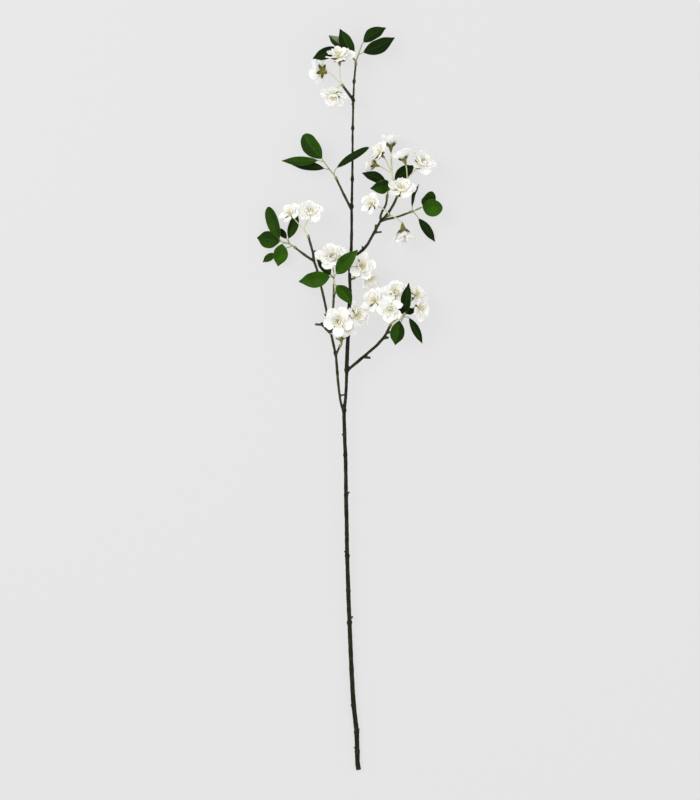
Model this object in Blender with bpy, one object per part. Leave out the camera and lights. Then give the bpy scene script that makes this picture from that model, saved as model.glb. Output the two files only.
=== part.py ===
"""Almond blossom branch, cut and lying down. Metres, +Z up, the branch runs from its cut end along +Y.

The branch is seen from above in these tables: X runs across it, Y along it from the cut end and Z up from
the surface, all in millimetres. It rests on three low points: the underside of the cut end, the tip of a
leaf on the left and the tip of a leaf on the right. Everything else stays above the surface.
"""

import math
import random
from collections import namedtuple

import bmesh
import bpy
from mathutils import Matrix, Vector
from mathutils.geometry import interpolate_bezier

MM = 0.001
UP = Vector((0, 0, 1))

# Stems and twigs, in millimetres
STEM_SIDES = 8
TWIG_SIDES = 5
SWELLING_REACH = 4.0
SWELLING_HEIGHT = 0.7
JOIN_GAP = 0.3
COLLAR_RADIUS = 1.5
COLLAR_LENGTH = 4.0

# The collar of bud scales at a twig's end, as shares: how far along it and how wide
COLLAR_PROFILE = ((0, 0.8), (0.6, 1), (1, 0.6))

# One bloom of 39 mm across, in millimetres
PETAL_SECTORS = 10
RING_HOLE = 1.9
RING_OUTER = 3.3
RING_THICK = 1.0
RING_VALLEY_HEIGHT = 0.2
PETAL_ROOT = 2.6
OUTER_PETAL = 17.6
INNER_PETAL = 13.6
OUTER_RISE = math.radians(17)
INNER_RISE = math.radians(47)
OUTER_HALF_WIDTH = 0.41
INNER_HALF_WIDTH = 0.36
PETAL_TWIST = math.radians(13)
PETAL_TURN_NOISE = 3.0
PETAL_LENGTH_NOISE = (0.94, 1.04)
PETAL_THICK = 0.9
CUP_LENGTH = 6.0
CUP_RIM = 2.7
RIM_DEPTH = 1.5
DISC_RADIUS = 1.2
DISC_DOME = 0.05
SEPAL_LENGTH = 5.2
STAMEN_LENGTH = 7.5
PEDICEL_RADIUS = 0.75
CUP_BASE_RADIUS = 0.82
STALK_RADIUS = 0.97
STALK_EASE = 0.35

# Along a petal from its root as a share of its length: half width as a share of the widest, and how far
# the edge stands up in millimetres. The rib has no width.
PETAL_EDGE = ((0.26, 0.5, 0.2), (0.6, 1.0, 1.4), (0.9, 0.62, 1.7))
PETAL_NOTCH = (0.93, 0.0, 1.3)
PETAL_RIB = ((0.45, 0.0, 0.0), (0.8, 0.0, 0.7))
EDGE_WAVE = 0.35

# The floral cup as shares of its size: where its belly lies behind the heart and how wide it is there
CUP_BELLY_BACK = 0.62
CUP_BELLY_WIDTH = 0.72
CUP_LOW_RIM_WIDTH = 0.95

# Sepals lean back by this much for each millimetre outwards, stamens lean out by this much for each one up
SEPAL_LEAN_BACK = 0.36
SEPAL_SHOULDER = 0.45
STAMEN_LEAN_OUT = 0.42
FILAMENT_SHARE = 0.8
FILAMENT_NECK = 0.5
ANTHER_SWELL = 2.2

# The inner petals stand in these sectors of the ring, in the order in which they are filled
INNER_SECTORS = (1, 5, 3, 7, 9)

# Leaves, in millimetres
LEAF_THICK = 0.9
PETIOLE_RADIUS = 0.7
PETIOLE_ARCH = 0.1
PETIOLE_EASE = 0.35
SHOOT_COLLAR_RADIUS = 1.1
SHOOT_RADIUS = 1.05
LEAF_FOLD = 0.22
LEAF_WAVE = 0.5
LEAF_WIDTHS = ((0.14, 0.62), (0.38, 1.0), (0.64, 0.9), (0.86, 0.5))

# A resting bud, as shares of its length: how far along it and how thick
BUD_PROFILE = ((-0.2, 0.16), (0.25, 0.27), (0.6, 0.2), (1.0, 0.05))

# The woody part: centre line points and the radius at the first and last of them
Twig = namedtuple("Twig", "points first_radius last_radius sides")

MAIN_STEM = Twig((
    (13, 0, 3.5), (11.5, 10, 3.8), (10, 58, 5.5), (5.5, 96, 7), (2.5, 147, 9), (0.5, 191, 10.5),
    (-1, 227, 12), (-2.5, 267, 13.5), (-4, 314, 15), (-5, 368, 17), (-6, 415, 18.5), (-6.5, 461, 20),
    (-8, 503, 21.5), (-9, 539, 23), (-6, 577, 24), (-5, 602, 25), (-4, 629, 25.7), (-3, 654, 26.5),
    (0, 726, 28.5), (-0.5, 751, 29.5), (2, 788, 30.5), (2.5, 842, 32), (3.5, 891, 33), (4, 963, 34),
    (5, 1008, 34.5), (6, 1033, 35), (8.5, 1059, 36)), 3.5, 1.7, STEM_SIDES)
MAIN_SWELLINGS = (153, 275, 357, 602, 722, 769, 842, 892, 964, 1034)

LEFT_BRANCH = Twig((
    (-9, 537, 23), (-13.5, 564, 25), (-17.5, 589, 26), (-21, 623, 26.5), (-28, 655, 26.5),
    (-33.5, 681, 26), (-37, 700, 25.5), (-43, 726, 25), (-50, 754, 24), (-54.5, 767, 23.5)),
    2.6, 1.8, STEM_SIDES)
LEFT_SWELLINGS = (60, 130, 215)

TWIGS = {
    "c_twig": Twig(((-54, 765, 23.5), (-56, 779, 24), (-59, 790, 25), (-62, 801, 26)), 1.7, 1.3, TWIG_SIDES),
    "l5_twig": Twig(((-53, 765, 23.5), (-72, 778, 22), (-81, 785, 20.5)), 1.6, 1.2, TWIG_SIDES),
    "l6_twig": Twig(((-28, 652, 26.5), (-26.5, 674, 29), (-25, 700, 28.5), (-24, 727, 27.5)),
                    1.5, 1.1, TWIG_SIDES),
    "d_spur": Twig(((-24.6, 709, 28), (-23, 717, 32)), 1.2, 1.0, TWIG_SIDES),
    "low_twig": Twig(((-21, 625, 26.5), (-18, 632, 30), (-15.5, 637, 33)), 1.4, 1.1, TWIG_SIDES),
    "left_stub": Twig(((-28, 655, 26.5), (-39, 667, 26), (-47, 675, 25)), 1.5, 1.1, TWIG_SIDES),
    "left_stub_fork": Twig(((-39, 667, 26), (-53, 671, 24)), 1.2, 0.9, TWIG_SIDES),
    "r_twig": Twig(((-5, 601, 25), (20, 622, 26), (50, 650, 28), (58, 664, 31), (60, 668, 34)),
                   1.8, 1.2, TWIG_SIDES),
    "r_leaf_spur": Twig(((54, 657, 29.3), (64, 660, 33)), 1.3, 1.1, TWIG_SIDES),
    "r_spur_low": Twig(((20, 622, 26), (31, 620.5, 26)), 1.3, 1.0, TWIG_SIDES),
    "r_spur_high": Twig(((50, 650, 28), (58.5, 649, 28)), 1.3, 1.0, TWIG_SIDES),
    "b_twig": Twig(((0.5, 770, 30), (20, 783, 31), (36, 808, 32), (46.5, 827, 32)), 1.9, 1.5, TWIG_SIDES),
    "b_spur": Twig(((36, 808, 32), (48, 809.5, 31)), 1.3, 1.0, TWIG_SIDES),
    "b_stub": Twig(((38, 811, 32), (38.5, 820.5, 33)), 1.3, 1.0, TWIG_SIDES),
    "b_left_arm": Twig(((46, 825, 32), (46, 834, 32), (54, 851, 32), (55.5, 861, 32)), 1.4, 1.2, TWIG_SIDES),
    "b_middle_arm": Twig(((46, 825, 32), (53, 832, 32), (65, 850, 33), (70, 861, 34)), 1.4, 1.2, TWIG_SIDES),
    "b_right_arm": Twig(((46, 825, 32), (54, 828, 31), (71, 832, 29.5), (90, 839, 27)), 1.4, 1.1, TWIG_SIDES),
    "b_axil_stub": Twig(((52, 830, 32), (57, 833, 36)), 1.2, 1.0, TWIG_SIDES),
    "ml_twig": Twig(((2.5, 842, 32), (-9, 865, 33), (-20, 888, 34)), 1.7, 1.2, TWIG_SIDES),
    "a_spur": Twig(((5, 1007, 34.5), (-10, 1027, 36.5)), 1.4, 1.1, TWIG_SIDES),
    "e_spur": Twig(((0, 737, 29), (5, 739.5, 35)), 1.3, 1.1, TWIG_SIDES),
    "g_spur": Twig(((-2.5, 671, 27), (-3, 674, 33)), 1.3, 1.1, TWIG_SIDES),
    "fork_stub": Twig(((-13.5, 564, 25), (-9.5, 566, 26)), 1.2, 0.9, TWIG_SIDES),
}
MAIN_TIP = "main_stem"

# Resting buds on the bark: where each stands, which way it points and its length
Bud = namedtuple("Bud", "root towards length")
BUDS = (
    Bud((11, 30, 5), (-1, 0.9, 0.3), 5), Bud((9.5, 58, 6), (1, 0.8, 0.4), 5),
    Bud((6, 92, 7.5), (-1, 0.9, 0.5), 5), Bud((-1.5, 230, 12.5), (1, 0.8, 0.5), 6),
    Bud((-4, 326, 15.5), (-1, 0.9, 0.4), 5), Bud((-5.5, 415, 19), (1, 0.9, 0.4), 5),
    Bud((-8.5, 503, 22), (-1, 0.9, 0.3), 4.5), Bud((-56, 779, 24.5), (1, 0.6, 0.5), 4),
    Bud((20, 783, 31.5), (-0.4, 1, 0.5), 4.5), Bud((4, 1000, 34.5), (1, 0.8, 0.3), 4),
    Bud((-34, 683, 26.5), (-1, 0.7, 0.4), 4.5), Bud((3.5, 892, 33.5), (1, 0.8, 0.5), 4.5),
)

# A bloom: the heart is the middle of its ring of petals, facing is the way it opens. Size is a share of
# the full 39 mm, closing lifts its petals towards the axis and inner is how many inner petals it has.
Bloom = namedtuple("Bloom", "heart facing size closing inner start")
Spray = namedtuple("Spray", "twig stalks blooms")

SPRAYS = {
    "a": Spray("a_spur", (), {
        "a1": Bloom((-16, 1068, 47), (-0.15, 0.8, 0.45), 1.0, 0, 4, None),
        "a2": Bloom((-42, 1050, 31), (-0.85, 0.1, -0.4), 0.95, 8, 4, None),
        "a3": Bloom((-19, 1021, 51), (-0.2, -0.75, 0.5), 1.05, 0, 5, None)}),
    "b_top": Spray("b_middle_arm", (
        ((70, 862, 34.5), (66, 878, 35), (63, 898, 35), (62, 918, 31)),
        ((68, 870, 34.8), (80, 884, 36), (86, 890, 37))), {
        "b1": Bloom((61, 942, 25), (-0.05, 0.97, -0.2), 0.85, 9, 4, (62, 917, 31)),
        "b2": Bloom((44, 926, 46), (-0.7, 0.55, 0.45), 0.95, 4, 4, (63, 897, 35)),
        "b2b": Bloom((33, 912, 22), (-0.88, 0.1, -0.35), 0.85, 8, 4, (63, 897, 35)),
        "b3": Bloom((79, 921, 53), (-0.35, 0.8, 0.15), 0.9, 10, 4, (86, 889, 37)),
        "b4": Bloom((108, 909, 42), (0.5, 0.65, 0.5), 1.05, 0, 5, (86, 889, 37)),
        "b5": Bloom((77, 873, 53), (0.15, 0.5, 0.85), 1.0, 0, 5, None)}),
    "b_axil": Spray("b_axil_stub", (), {
        "b6": Bloom((36, 851, 42), (-0.9, 0.1, 0.4), 0.9, 0, 4, None),
        "b7": Bloom((80, 810, 34), (0.15, -0.95, 0.15), 0.95, 4, 4, None)}),
    "c": Spray("c_twig", (((-62, 802, 26), (-66, 808, 28), (-70, 814, 30)),), {
        "c1": Bloom((-60, 840, 45), (0.15, 0.5, 0.85), 1.0, 0, 5, (-70, 813, 30)),
        "c2": Bloom((-89, 838, 33), (-0.7, 0.45, -0.4), 0.9, 6, 4, (-70, 813, 30))}),
    "d": Spray("d_spur", (), {
        "d1": Bloom((-26, 768, 47), (-0.1, 0.75, 0.55), 1.05, 0, 5, None)}),
    "e": Spray("e_spur", (), {
        "e1": Bloom((14, 757, 56), (0.25, 0.25, 0.92), 1.0, 0, 5, None),
        "e2": Bloom((31, 741, 36), (0.85, -0.35, -0.1), 0.9, 6, 4, None)}),
    "f": Spray("r_twig", (), {
        "f1": Bloom((38, 704, 44), (-0.8, 0.35, 0.45), 0.95, 2, 4, None),
        "f2": Bloom((69, 717, 47), (0.05, 0.65, 0.75), 1.0, 0, 5, None),
        "f3": Bloom((61, 692, 68), (-0.05, -0.2, 0.95), 1.05, 0, 5, None),
        "f4": Bloom((98, 716, 36), (0.6, 0.7, 0.2), 0.95, 4, 4, None),
        "f5": Bloom((104, 694, 51), (0.75, -0.1, 0.6), 0.95, 2, 4, None),
        "f6": Bloom((107, 689, 27), (0.9, -0.05, -0.2), 0.85, 8, 4, None)}),
    "g": Spray("g_spur", (), {
        "g1": Bloom((-14, 681, 61), (-0.15, 0.05, 0.97), 1.08, 0, 5, None),
        "g2": Bloom((14, 688, 38), (0.75, 0.45, 0.5), 0.95, 4, 4, None),
        "g3": Bloom((4, 660, 43), (0.3, -0.5, 0.8), 0.95, 2, 4, None)}),
    "g_low": Spray("low_twig", (), {
        "g4": Bloom((-21, 646, 37), (-0.3, 0.4, 0.85), 0.75, 6, 4, None)}),
}

# A leaf: its petiole starts on the green shoot, then the blade runs from base to tip. Upper is the way its
# upper face looks, bow is how far the middle of the blade stands above the line from base to tip.
Leaf = namedtuple("Leaf", "start base tip half_width upper bow")
Shoot = namedtuple("Shoot", "twig stalk leaves")

SHOOTS = {
    "top": Shoot(MAIN_TIP, ((13, 1076, 37), (18, 1090, 38)), (
        Leaf((9.5, 1065, 36.4), (5, 1071, 35), (-15, 1114, 28), 9, (-0.2, 0.1, 1), 4),
        Leaf((9.2, 1064, 36.2), (-5, 1080, 30), (-32, 1105, 20), 7.5, (0.1, 0.3, 1), 3),
        Leaf((9, 1063, 36), (-20, 1086, 31), (-56, 1070, 24), 8, (0, -0.3, 1), 4),
        Leaf((17, 1087, 37.8), (20, 1093, 38), (54, 1115, 33), 9, (-0.2, 0.3, 1), 4),
        Leaf((13, 1075, 37), (20, 1078, 37), (67, 1100, 29), 8, (0.2, -0.3, 1), 4))),
    "mid_left": Shoot("ml_twig", ((-30, 902, 34), (-41, 917, 33)), (
        Leaf((-40, 915, 33), (-42, 920, 33), (-73, 955, 22), 10.5, (-0.2, -0.2, 1), 4),
        Leaf((-39, 914, 33), (-48, 914, 32), (-103, 917, 16), 9, (0, -0.2, 1), 4),
        Leaf((-30.5, 902.5, 33.6), (-40, 903, 27), (-85, 911, 8), 8, (0, 0.2, 1), 3),
        Leaf((-24, 893, 34), (-20, 905, 38), (30, 936, 47), 6, (-0.3, 0.2, 1), 4))),
    "back_left": Shoot("b_left_arm", ((56.5, 868, 33),), (
        Leaf((56, 866, 32.8), (54, 880, 32), (19, 893, 26), 7.5, (0.2, 0.3, 1), 3),
        Leaf((56.3, 867, 33), (60, 875, 38), (31, 875, 51), 9, (0.4, -0.3, 1), 3),
        Leaf((56.5, 867.5, 33), (68, 882, 26), (96, 904, 14), 7, (0, 0.2, 1), 2))),
    "back_right": Shoot("b_right_arm", ((97, 841.5, 26),), (
        Leaf((94, 840.5, 26.6), (93.5, 847, 28), (104, 881, 29), 5, (-1, 0.2, 0.5), 2),
        Leaf((96, 841, 26.2), (109, 844, 27), (140, 840, 38), 11, (-0.2, -0.2, 1), 3),
        Leaf((96.5, 841.5, 26), (110, 849, 21), (125, 872, 34), 9.5, (0.3, -0.4, 0.8), 2),
        Leaf((95, 840.5, 26.4), (103, 830, 21), (128, 796, 0), 6, (0.3, -0.2, 1), 3))),
    "far_left": Shoot("l5_twig", ((-87.5, 790, 18.5), (-94.5, 793, 17)), (
        Leaf((-92, 791.8, 17.5), (-98, 801, 17), (-122, 847, 7), 6.5, (-0.2, -0.1, 1), 4),
        Leaf((-94, 793, 17), (-104, 793, 15), (-140, 799, 0), 11.5, (0, -0.1, 1), 3),
        Leaf((-91, 791.5, 17.6), (-95.5, 800, 11), (-109, 817, 4), 4.5, (0, 0.2, 1), 1),
        Leaf((-90, 791, 17.9), (-89, 800, 15), (-77, 838, 5), 6.5, (0.3, 0, 1), 2),
        Leaf((-92, 791.8, 17.5), (-101, 784, 13), (-105, 757, 4), 9, (0.1, -0.2, 1), 3),
        Leaf((-86, 789, 18.9), (-118, 775, 8), (-134, 764, 2.5), 5, (0, 0.1, 1), 1))),
    "inner_left": Shoot("l6_twig", ((-24, 735, 28.5), (-24, 742, 29.5)), (
        Leaf((-24, 740, 29.3), (-20, 747, 32), (12, 781, 39), 7.5, (-0.3, 0.3, 1), 3),
        Leaf((-24, 731.5, 28.1), (-20, 728, 31), (1, 704, 36), 6.5, (0.3, 0.3, 1), 2),
        Leaf((-24, 739, 29.1), (-30, 740, 32), (-76, 733, 26), 10.5, (0, -0.2, 1), 4),
        Leaf((-24, 740, 29.3), (-28, 746, 30), (-47, 767, 32), 5.5, (0.2, 0.2, 1), 2),
        Leaf((-24, 739.5, 29.1), (-29, 745, 25), (-39, 753, 20), 3.5, (0, 0.3, 1), 1))),
    "right": Shoot("r_leaf_spur", ((74, 670, 43), (80.5, 683, 52)), (
        Leaf((80, 682, 51.5), (83, 689, 56), (88, 731, 68), 5.5, (-0.4, -0.2, 1), 2),
        Leaf((79.5, 681, 51), (79, 687, 50), (76, 698, 49), 3.5, (0, 0, 1), 1),
        Leaf((80, 681.5, 51.3), (85, 684, 48), (93, 690, 42), 3.5, (0, 0, 1), 1),
        Leaf((79, 679.5, 50), (72, 674, 46), (66, 640, 30), 9.5, (0, -0.1, 1), 3),
        Leaf((79.5, 681, 51), (88, 679, 48), (107, 642, 26), 7.5, (0.2, -0.1, 1), 3))),
}

# Edges sharper than these stay sharp in the shading
BARK_SHARP = math.radians(50)
PETAL_SHARP = math.radians(60)

# Colour, roughness
BARK = ((0.045, 0.036, 0.027), 0.85)
PETAL_WHITE = ((0.88, 0.87, 0.84), 0.7)
LEAF_GREEN = ((0.045, 0.13, 0.02), 0.5)
CALYX_GREEN = ((0.17, 0.13, 0.02), 0.65)


def clear_scene():
    for obj in list(bpy.data.objects):
        bpy.data.objects.remove(obj, do_unlink=True)


def unit(vector):
    return Vector(vector).normalized()


def across(direction, hint=UP):
    """A unit vector at right angles to direction, as near to hint as it can be."""
    side = Vector(hint) - direction * direction.dot(Vector(hint))
    if side.length < 1e-3:
        return across(direction, Vector((0, 1, 0)))
    return side.normalized()


def skin(bm, rings):
    """A closed skin over rings of equal count, with a flat cap on the first and the last."""
    loops = [[bm.verts.new(point * MM) for point in ring] for ring in rings]
    count = len(rings[0])
    bands = []
    for low, high in zip(loops, loops[1:]):
        band = []
        for here in range(count):
            after = (here + 1) % count
            band.append(bm.faces.new((low[here], low[after], high[after], high[here])))
        bands.append(band)
    bm.faces.new(list(reversed(loops[0])))
    end_cap = bm.faces.new(loops[-1])
    return bands, end_cap


def path_frames(points):
    """(point, side, other side) along a path, turned as little as can be from one point to the next."""
    points = [Vector(point) for point in points]
    frames = []
    side = None
    for index, point in enumerate(points):
        before = points[max(index - 1, 0)]
        after = points[min(index + 1, len(points) - 1)]
        tangent = (after - before).normalized()
        side = across(tangent, UP if side is None else side)
        frames.append((point, side, tangent.cross(side)))
    return frames


def tube_rings(points, radii, sides):
    rings = []
    for (point, side, other), radius in zip(path_frames(points), radii):
        ring = []
        for step in range(sides):
            turn = 2 * math.pi * step / sides
            ring.append(point + (side * math.cos(turn) + other * math.sin(turn)) * radius)
        rings.append(ring)
    return rings


def add_tube(bm, points, radii, sides):
    return skin(bm, tube_rings(points, radii, sides))


def lengths_along(points):
    total = 0.0
    found = [total]
    for before, after in zip(points, points[1:]):
        total += (Vector(after) - Vector(before)).length
        found.append(total)
    return found


def point_at(points, lengths, distance):
    for index in range(len(points) - 1):
        if distance <= lengths[index + 1]:
            span = lengths[index + 1] - lengths[index]
            return Vector(points[index]).lerp(Vector(points[index + 1]), (distance - lengths[index]) / span)
    return Vector(points[-1])


def add_stem(bm, twig, swellings=()):
    """A tapering stem with a low ring of bark at each swelling, given as a distance along it."""
    lengths = lengths_along(twig.points)
    stations = {}
    for distance in lengths:
        stations[distance] = 0.0
    for swelling in swellings:
        near = [d for d in stations if abs(d - swelling) < SWELLING_REACH and 0 < d < lengths[-1]]
        for distance in near:
            del stations[distance]
        stations[swelling - SWELLING_REACH] = 0.0
        stations[swelling] = SWELLING_HEIGHT
        stations[swelling + SWELLING_REACH] = 0.0
    order = sorted(stations)
    centres = [point_at(twig.points, lengths, distance) for distance in order]
    radii = []
    for distance in order:
        share = distance / lengths[-1]
        radius = twig.first_radius + (twig.last_radius - twig.first_radius) * share
        radii.append(radius + stations[distance])
    add_tube(bm, centres, radii, twig.sides)


def add_bud(bm, bud):
    towards = unit(bud.towards)
    root = Vector(bud.root)
    points = [root + towards * bud.length * along for along, _ in BUD_PROFILE]
    radii = [bud.length * share for _, share in BUD_PROFILE]
    add_tube(bm, points, radii, TWIG_SIDES)


def mesh_object(name, build):
    """A new object whose mesh is what build(bm) adds, with its faces turned outwards."""
    bm = bmesh.new()
    build(bm)
    bmesh.ops.recalc_face_normals(bm, faces=bm.faces)
    mesh = bpy.data.meshes.new(name)
    bm.to_mesh(mesh)
    bm.free()
    obj = bpy.data.objects.new(name, mesh)
    bpy.context.scene.collection.objects.link(obj)
    return obj


def fuse(name, builds):
    """One object that is the union of the closed solids made by builds."""
    body = mesh_object(name, builds[0])
    others = bpy.data.collections.new(name + "_pieces")
    bpy.context.scene.collection.children.link(others)
    for index, build in enumerate(builds[1:]):
        piece = mesh_object(f"{name}_piece_{index}", build)
        bpy.context.scene.collection.objects.unlink(piece)
        others.objects.link(piece)
    union = body.modifiers.new("Join", "BOOLEAN")
    union.operation = "UNION"
    union.operand_type = "COLLECTION"
    union.collection = others
    union.solver = "EXACT"
    with bpy.context.temp_override(object=body, active_object=body):
        bpy.ops.object.modifier_apply(modifier=union.name)
    for piece in list(others.objects):
        bpy.data.objects.remove(piece, do_unlink=True)
    bpy.data.collections.remove(others)
    return body


def paint(obj, finish):
    colour, roughness = finish
    material = bpy.data.materials.new(obj.name)
    material.use_nodes = True
    shader = material.node_tree.nodes["Principled BSDF"]
    shader.inputs["Base Color"].default_value = (*colour, 1)
    shader.inputs["Roughness"].default_value = roughness
    obj.data.materials.clear()
    obj.data.materials.append(material)


def tip_of(twig_name):
    """Where a twig ends, and the way it points there."""
    points = MAIN_STEM.points if twig_name == MAIN_TIP else TWIGS[twig_name].points
    end = Vector(points[-1])
    return end, (end - Vector(points[-2])).normalized()


def make_wood():
    def stem(twig, swellings=()):
        return lambda bm: add_stem(bm, twig, swellings)

    def bud_solid(bud):
        return lambda bm: add_bud(bm, bud)

    builds = [stem(MAIN_STEM, MAIN_SWELLINGS), stem(LEFT_BRANCH, LEFT_SWELLINGS)]
    builds += [stem(twig) for twig in TWIGS.values()]
    builds += [bud_solid(bud) for bud in BUDS]
    wood = fuse("woody_branch", builds)
    paint(wood, BARK)
    wood.data.shade_smooth()
    wood.data.set_sharp_from_angle(angle=BARK_SHARP)


def stalk_points(twig_name, stalk):
    """From just clear of the twig's flat end, along it, then through the stalk's own points."""
    end, along = tip_of(twig_name)
    start = end + along * JOIN_GAP
    return [start, start + along * COLLAR_LENGTH] + [Vector(point) for point in stalk]


def add_collar(bm, twig_name):
    """The short ring of bud scales that flowers or leaves grow from."""
    end, along = tip_of(twig_name)
    start = end + along * JOIN_GAP
    points = [start + along * COLLAR_LENGTH * share for share, _ in COLLAR_PROFILE]
    radii = [COLLAR_RADIUS * share for _, share in COLLAR_PROFILE]
    add_tube(bm, points, radii, TWIG_SIDES)


def pedicel_path(twig_name, bloom):
    """A flower stalk that leaves its start softly and meets the cup in line with it."""
    facing = unit(bloom.facing)
    cup_base = Vector(bloom.heart) - facing * CUP_LENGTH * bloom.size
    if bloom.start is None:
        end, along = tip_of(twig_name)
        start = end + along * (JOIN_GAP + COLLAR_LENGTH * 0.5)
    else:
        start = Vector(bloom.start)
        along = (cup_base - start).normalized()
    reach = (cup_base - start).length * STALK_EASE
    towards = (cup_base - start).normalized()
    first_handle = start + (along + towards).normalized() * reach
    last_handle = cup_base - facing * reach
    return interpolate_bezier(start, first_handle, last_handle, cup_base, 4)


def add_flower_base(bm, twig_name, bloom):
    """Pedicel, floral cup with five sepals and the disc with its stamens, as one five-sided skin."""
    facing = unit(bloom.facing)
    heart = Vector(bloom.heart)
    size = bloom.size
    stalk = pedicel_path(twig_name, bloom)
    gap = JOIN_GAP + RING_THICK * 0.5
    belly = heart - facing * CUP_LENGTH * size * CUP_BELLY_BACK
    rim_low = heart - facing * (gap + RIM_DEPTH) * size
    rim = heart - facing * gap
    disc = rim + facing * DISC_DOME
    points = stalk + [belly, rim_low, rim, disc]
    radii = [PEDICEL_RADIUS] * (len(stalk) - 1) + [CUP_BASE_RADIUS]
    radii += [CUP_RIM * share * size for share in (CUP_BELLY_WIDTH, CUP_LOW_RIM_WIDTH, 1)] + [DISC_RADIUS]
    bands, disc_face = add_tube(bm, points, radii, TWIG_SIDES)
    rim_band = bands[len(stalk) + 1]
    for face in bmesh.ops.extrude_discrete_faces(bm, faces=rim_band)["faces"]:
        shape_sepal(bm, face, heart, facing, size)
    stamen_roots = bmesh.ops.poke(bm, faces=[disc_face])["faces"]
    for face in bmesh.ops.extrude_discrete_faces(bm, faces=stamen_roots)["faces"]:
        shape_stamen(bm, face, heart, facing, size)


def shape_sepal(bm, face, heart, facing, size):
    """Draws one face of the cup's rim out into a pointed sepal that lies back under the petals."""
    middle = face.calc_center_median()
    outwards = across(facing, middle / MM - heart)
    reach = (outwards - facing * SEPAL_LEAN_BACK).normalized()
    length = SEPAL_LENGTH * size * MM
    for vert in face.verts:
        vert.co += reach * length * SEPAL_SHOULDER
    tip = bmesh.ops.extrude_discrete_faces(bm, faces=[face])["faces"][0]
    bmesh.ops.pointmerge(bm, verts=list(tip.verts), merge_co=middle + reach * length)


def shape_stamen(bm, face, heart, facing, size):
    """Draws one face of the floral disc out into a filament with a fatter anther at its end."""
    middle = face.calc_center_median()
    outwards = across(facing, middle / MM - heart)
    reach = (facing + outwards * STAMEN_LEAN_OUT).normalized()
    neck = middle + reach * STAMEN_LENGTH * size * FILAMENT_SHARE * MM
    for vert in face.verts:
        vert.co = neck + (vert.co - middle) * FILAMENT_NECK
    anther = bmesh.ops.extrude_discrete_faces(bm, faces=[face])["faces"][0]
    top = neck + reach * STAMEN_LENGTH * size * (1 - FILAMENT_SHARE) * MM
    for vert in anther.verts:
        vert.co = top + (vert.co - neck) * ANTHER_SWELL


def make_spray(name, spray):
    """Green stalks, cups, sepals and stamens of one cluster of blooms, then a corolla for each bloom."""
    def collar(bm):
        add_collar(bm, spray.twig)

    def stalk(points):
        return lambda bm: add_tube(bm, points, [STALK_RADIUS] * len(points), TWIG_SIDES)

    def base(bloom):
        return lambda bm: add_flower_base(bm, spray.twig, bloom)

    builds = [collar]
    builds += [stalk(points) for points in spray.stalks]
    builds += [base(bloom) for bloom in spray.blooms.values()]
    green = fuse(f"flower_stalks_{name}", builds)
    paint(green, CALYX_GREEN)
    green.data.shade_smooth()
    green.data.set_sharp_from_angle(angle=PETAL_SHARP)
    for bloom_name, bloom in spray.blooms.items():
        make_corolla(bloom_name, bloom)


def bloom_axes(bloom):
    """The way a bloom faces, and two directions at right angles to it."""
    facing = unit(bloom.facing)
    right = across(facing)
    return facing, right, facing.cross(right)


def petal_points(bloom, angle, inner, noise):
    """The outline and midline points of one petal, which grows outwards from the ring at angle."""
    facing, right, ahead = bloom_axes(bloom)
    outwards = right * math.cos(angle) + ahead * math.sin(angle)
    sideways = facing.cross(outwards)
    lifted = bloom.closing + noise.uniform(-PETAL_TURN_NOISE, PETAL_TURN_NOISE)
    rise = (INNER_RISE if inner else OUTER_RISE) + math.radians(lifted)
    length = (INNER_PETAL if inner else OUTER_PETAL) * bloom.size * noise.uniform(*PETAL_LENGTH_NOISE)
    half = length * (INNER_HALF_WIDTH if inner else OUTER_HALF_WIDTH)
    twist = PETAL_TWIST + math.radians(noise.uniform(-PETAL_TURN_NOISE, PETAL_TURN_NOISE))
    along = outwards * math.cos(rise) + facing * math.sin(rise)
    lift = along.cross(sideways)
    side = sideways * math.cos(twist) + lift * math.sin(twist)
    root = Vector(bloom.heart) + outwards * PETAL_ROOT

    def place(share, width, up):
        return root + along * length * share + side * half * width + lift * up * bloom.size

    edges = []
    for way in (-1, 1):
        waves = (0, noise.uniform(-EDGE_WAVE, EDGE_WAVE), noise.uniform(-EDGE_WAVE, EDGE_WAVE))
        edges.append([place(share, width * way, up + wave)
                      for (share, width, up), wave in zip(PETAL_EDGE, waves)])
    rib = [place(*point) for point in PETAL_RIB]
    return edges, place(*PETAL_NOTCH), rib, lift


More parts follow.
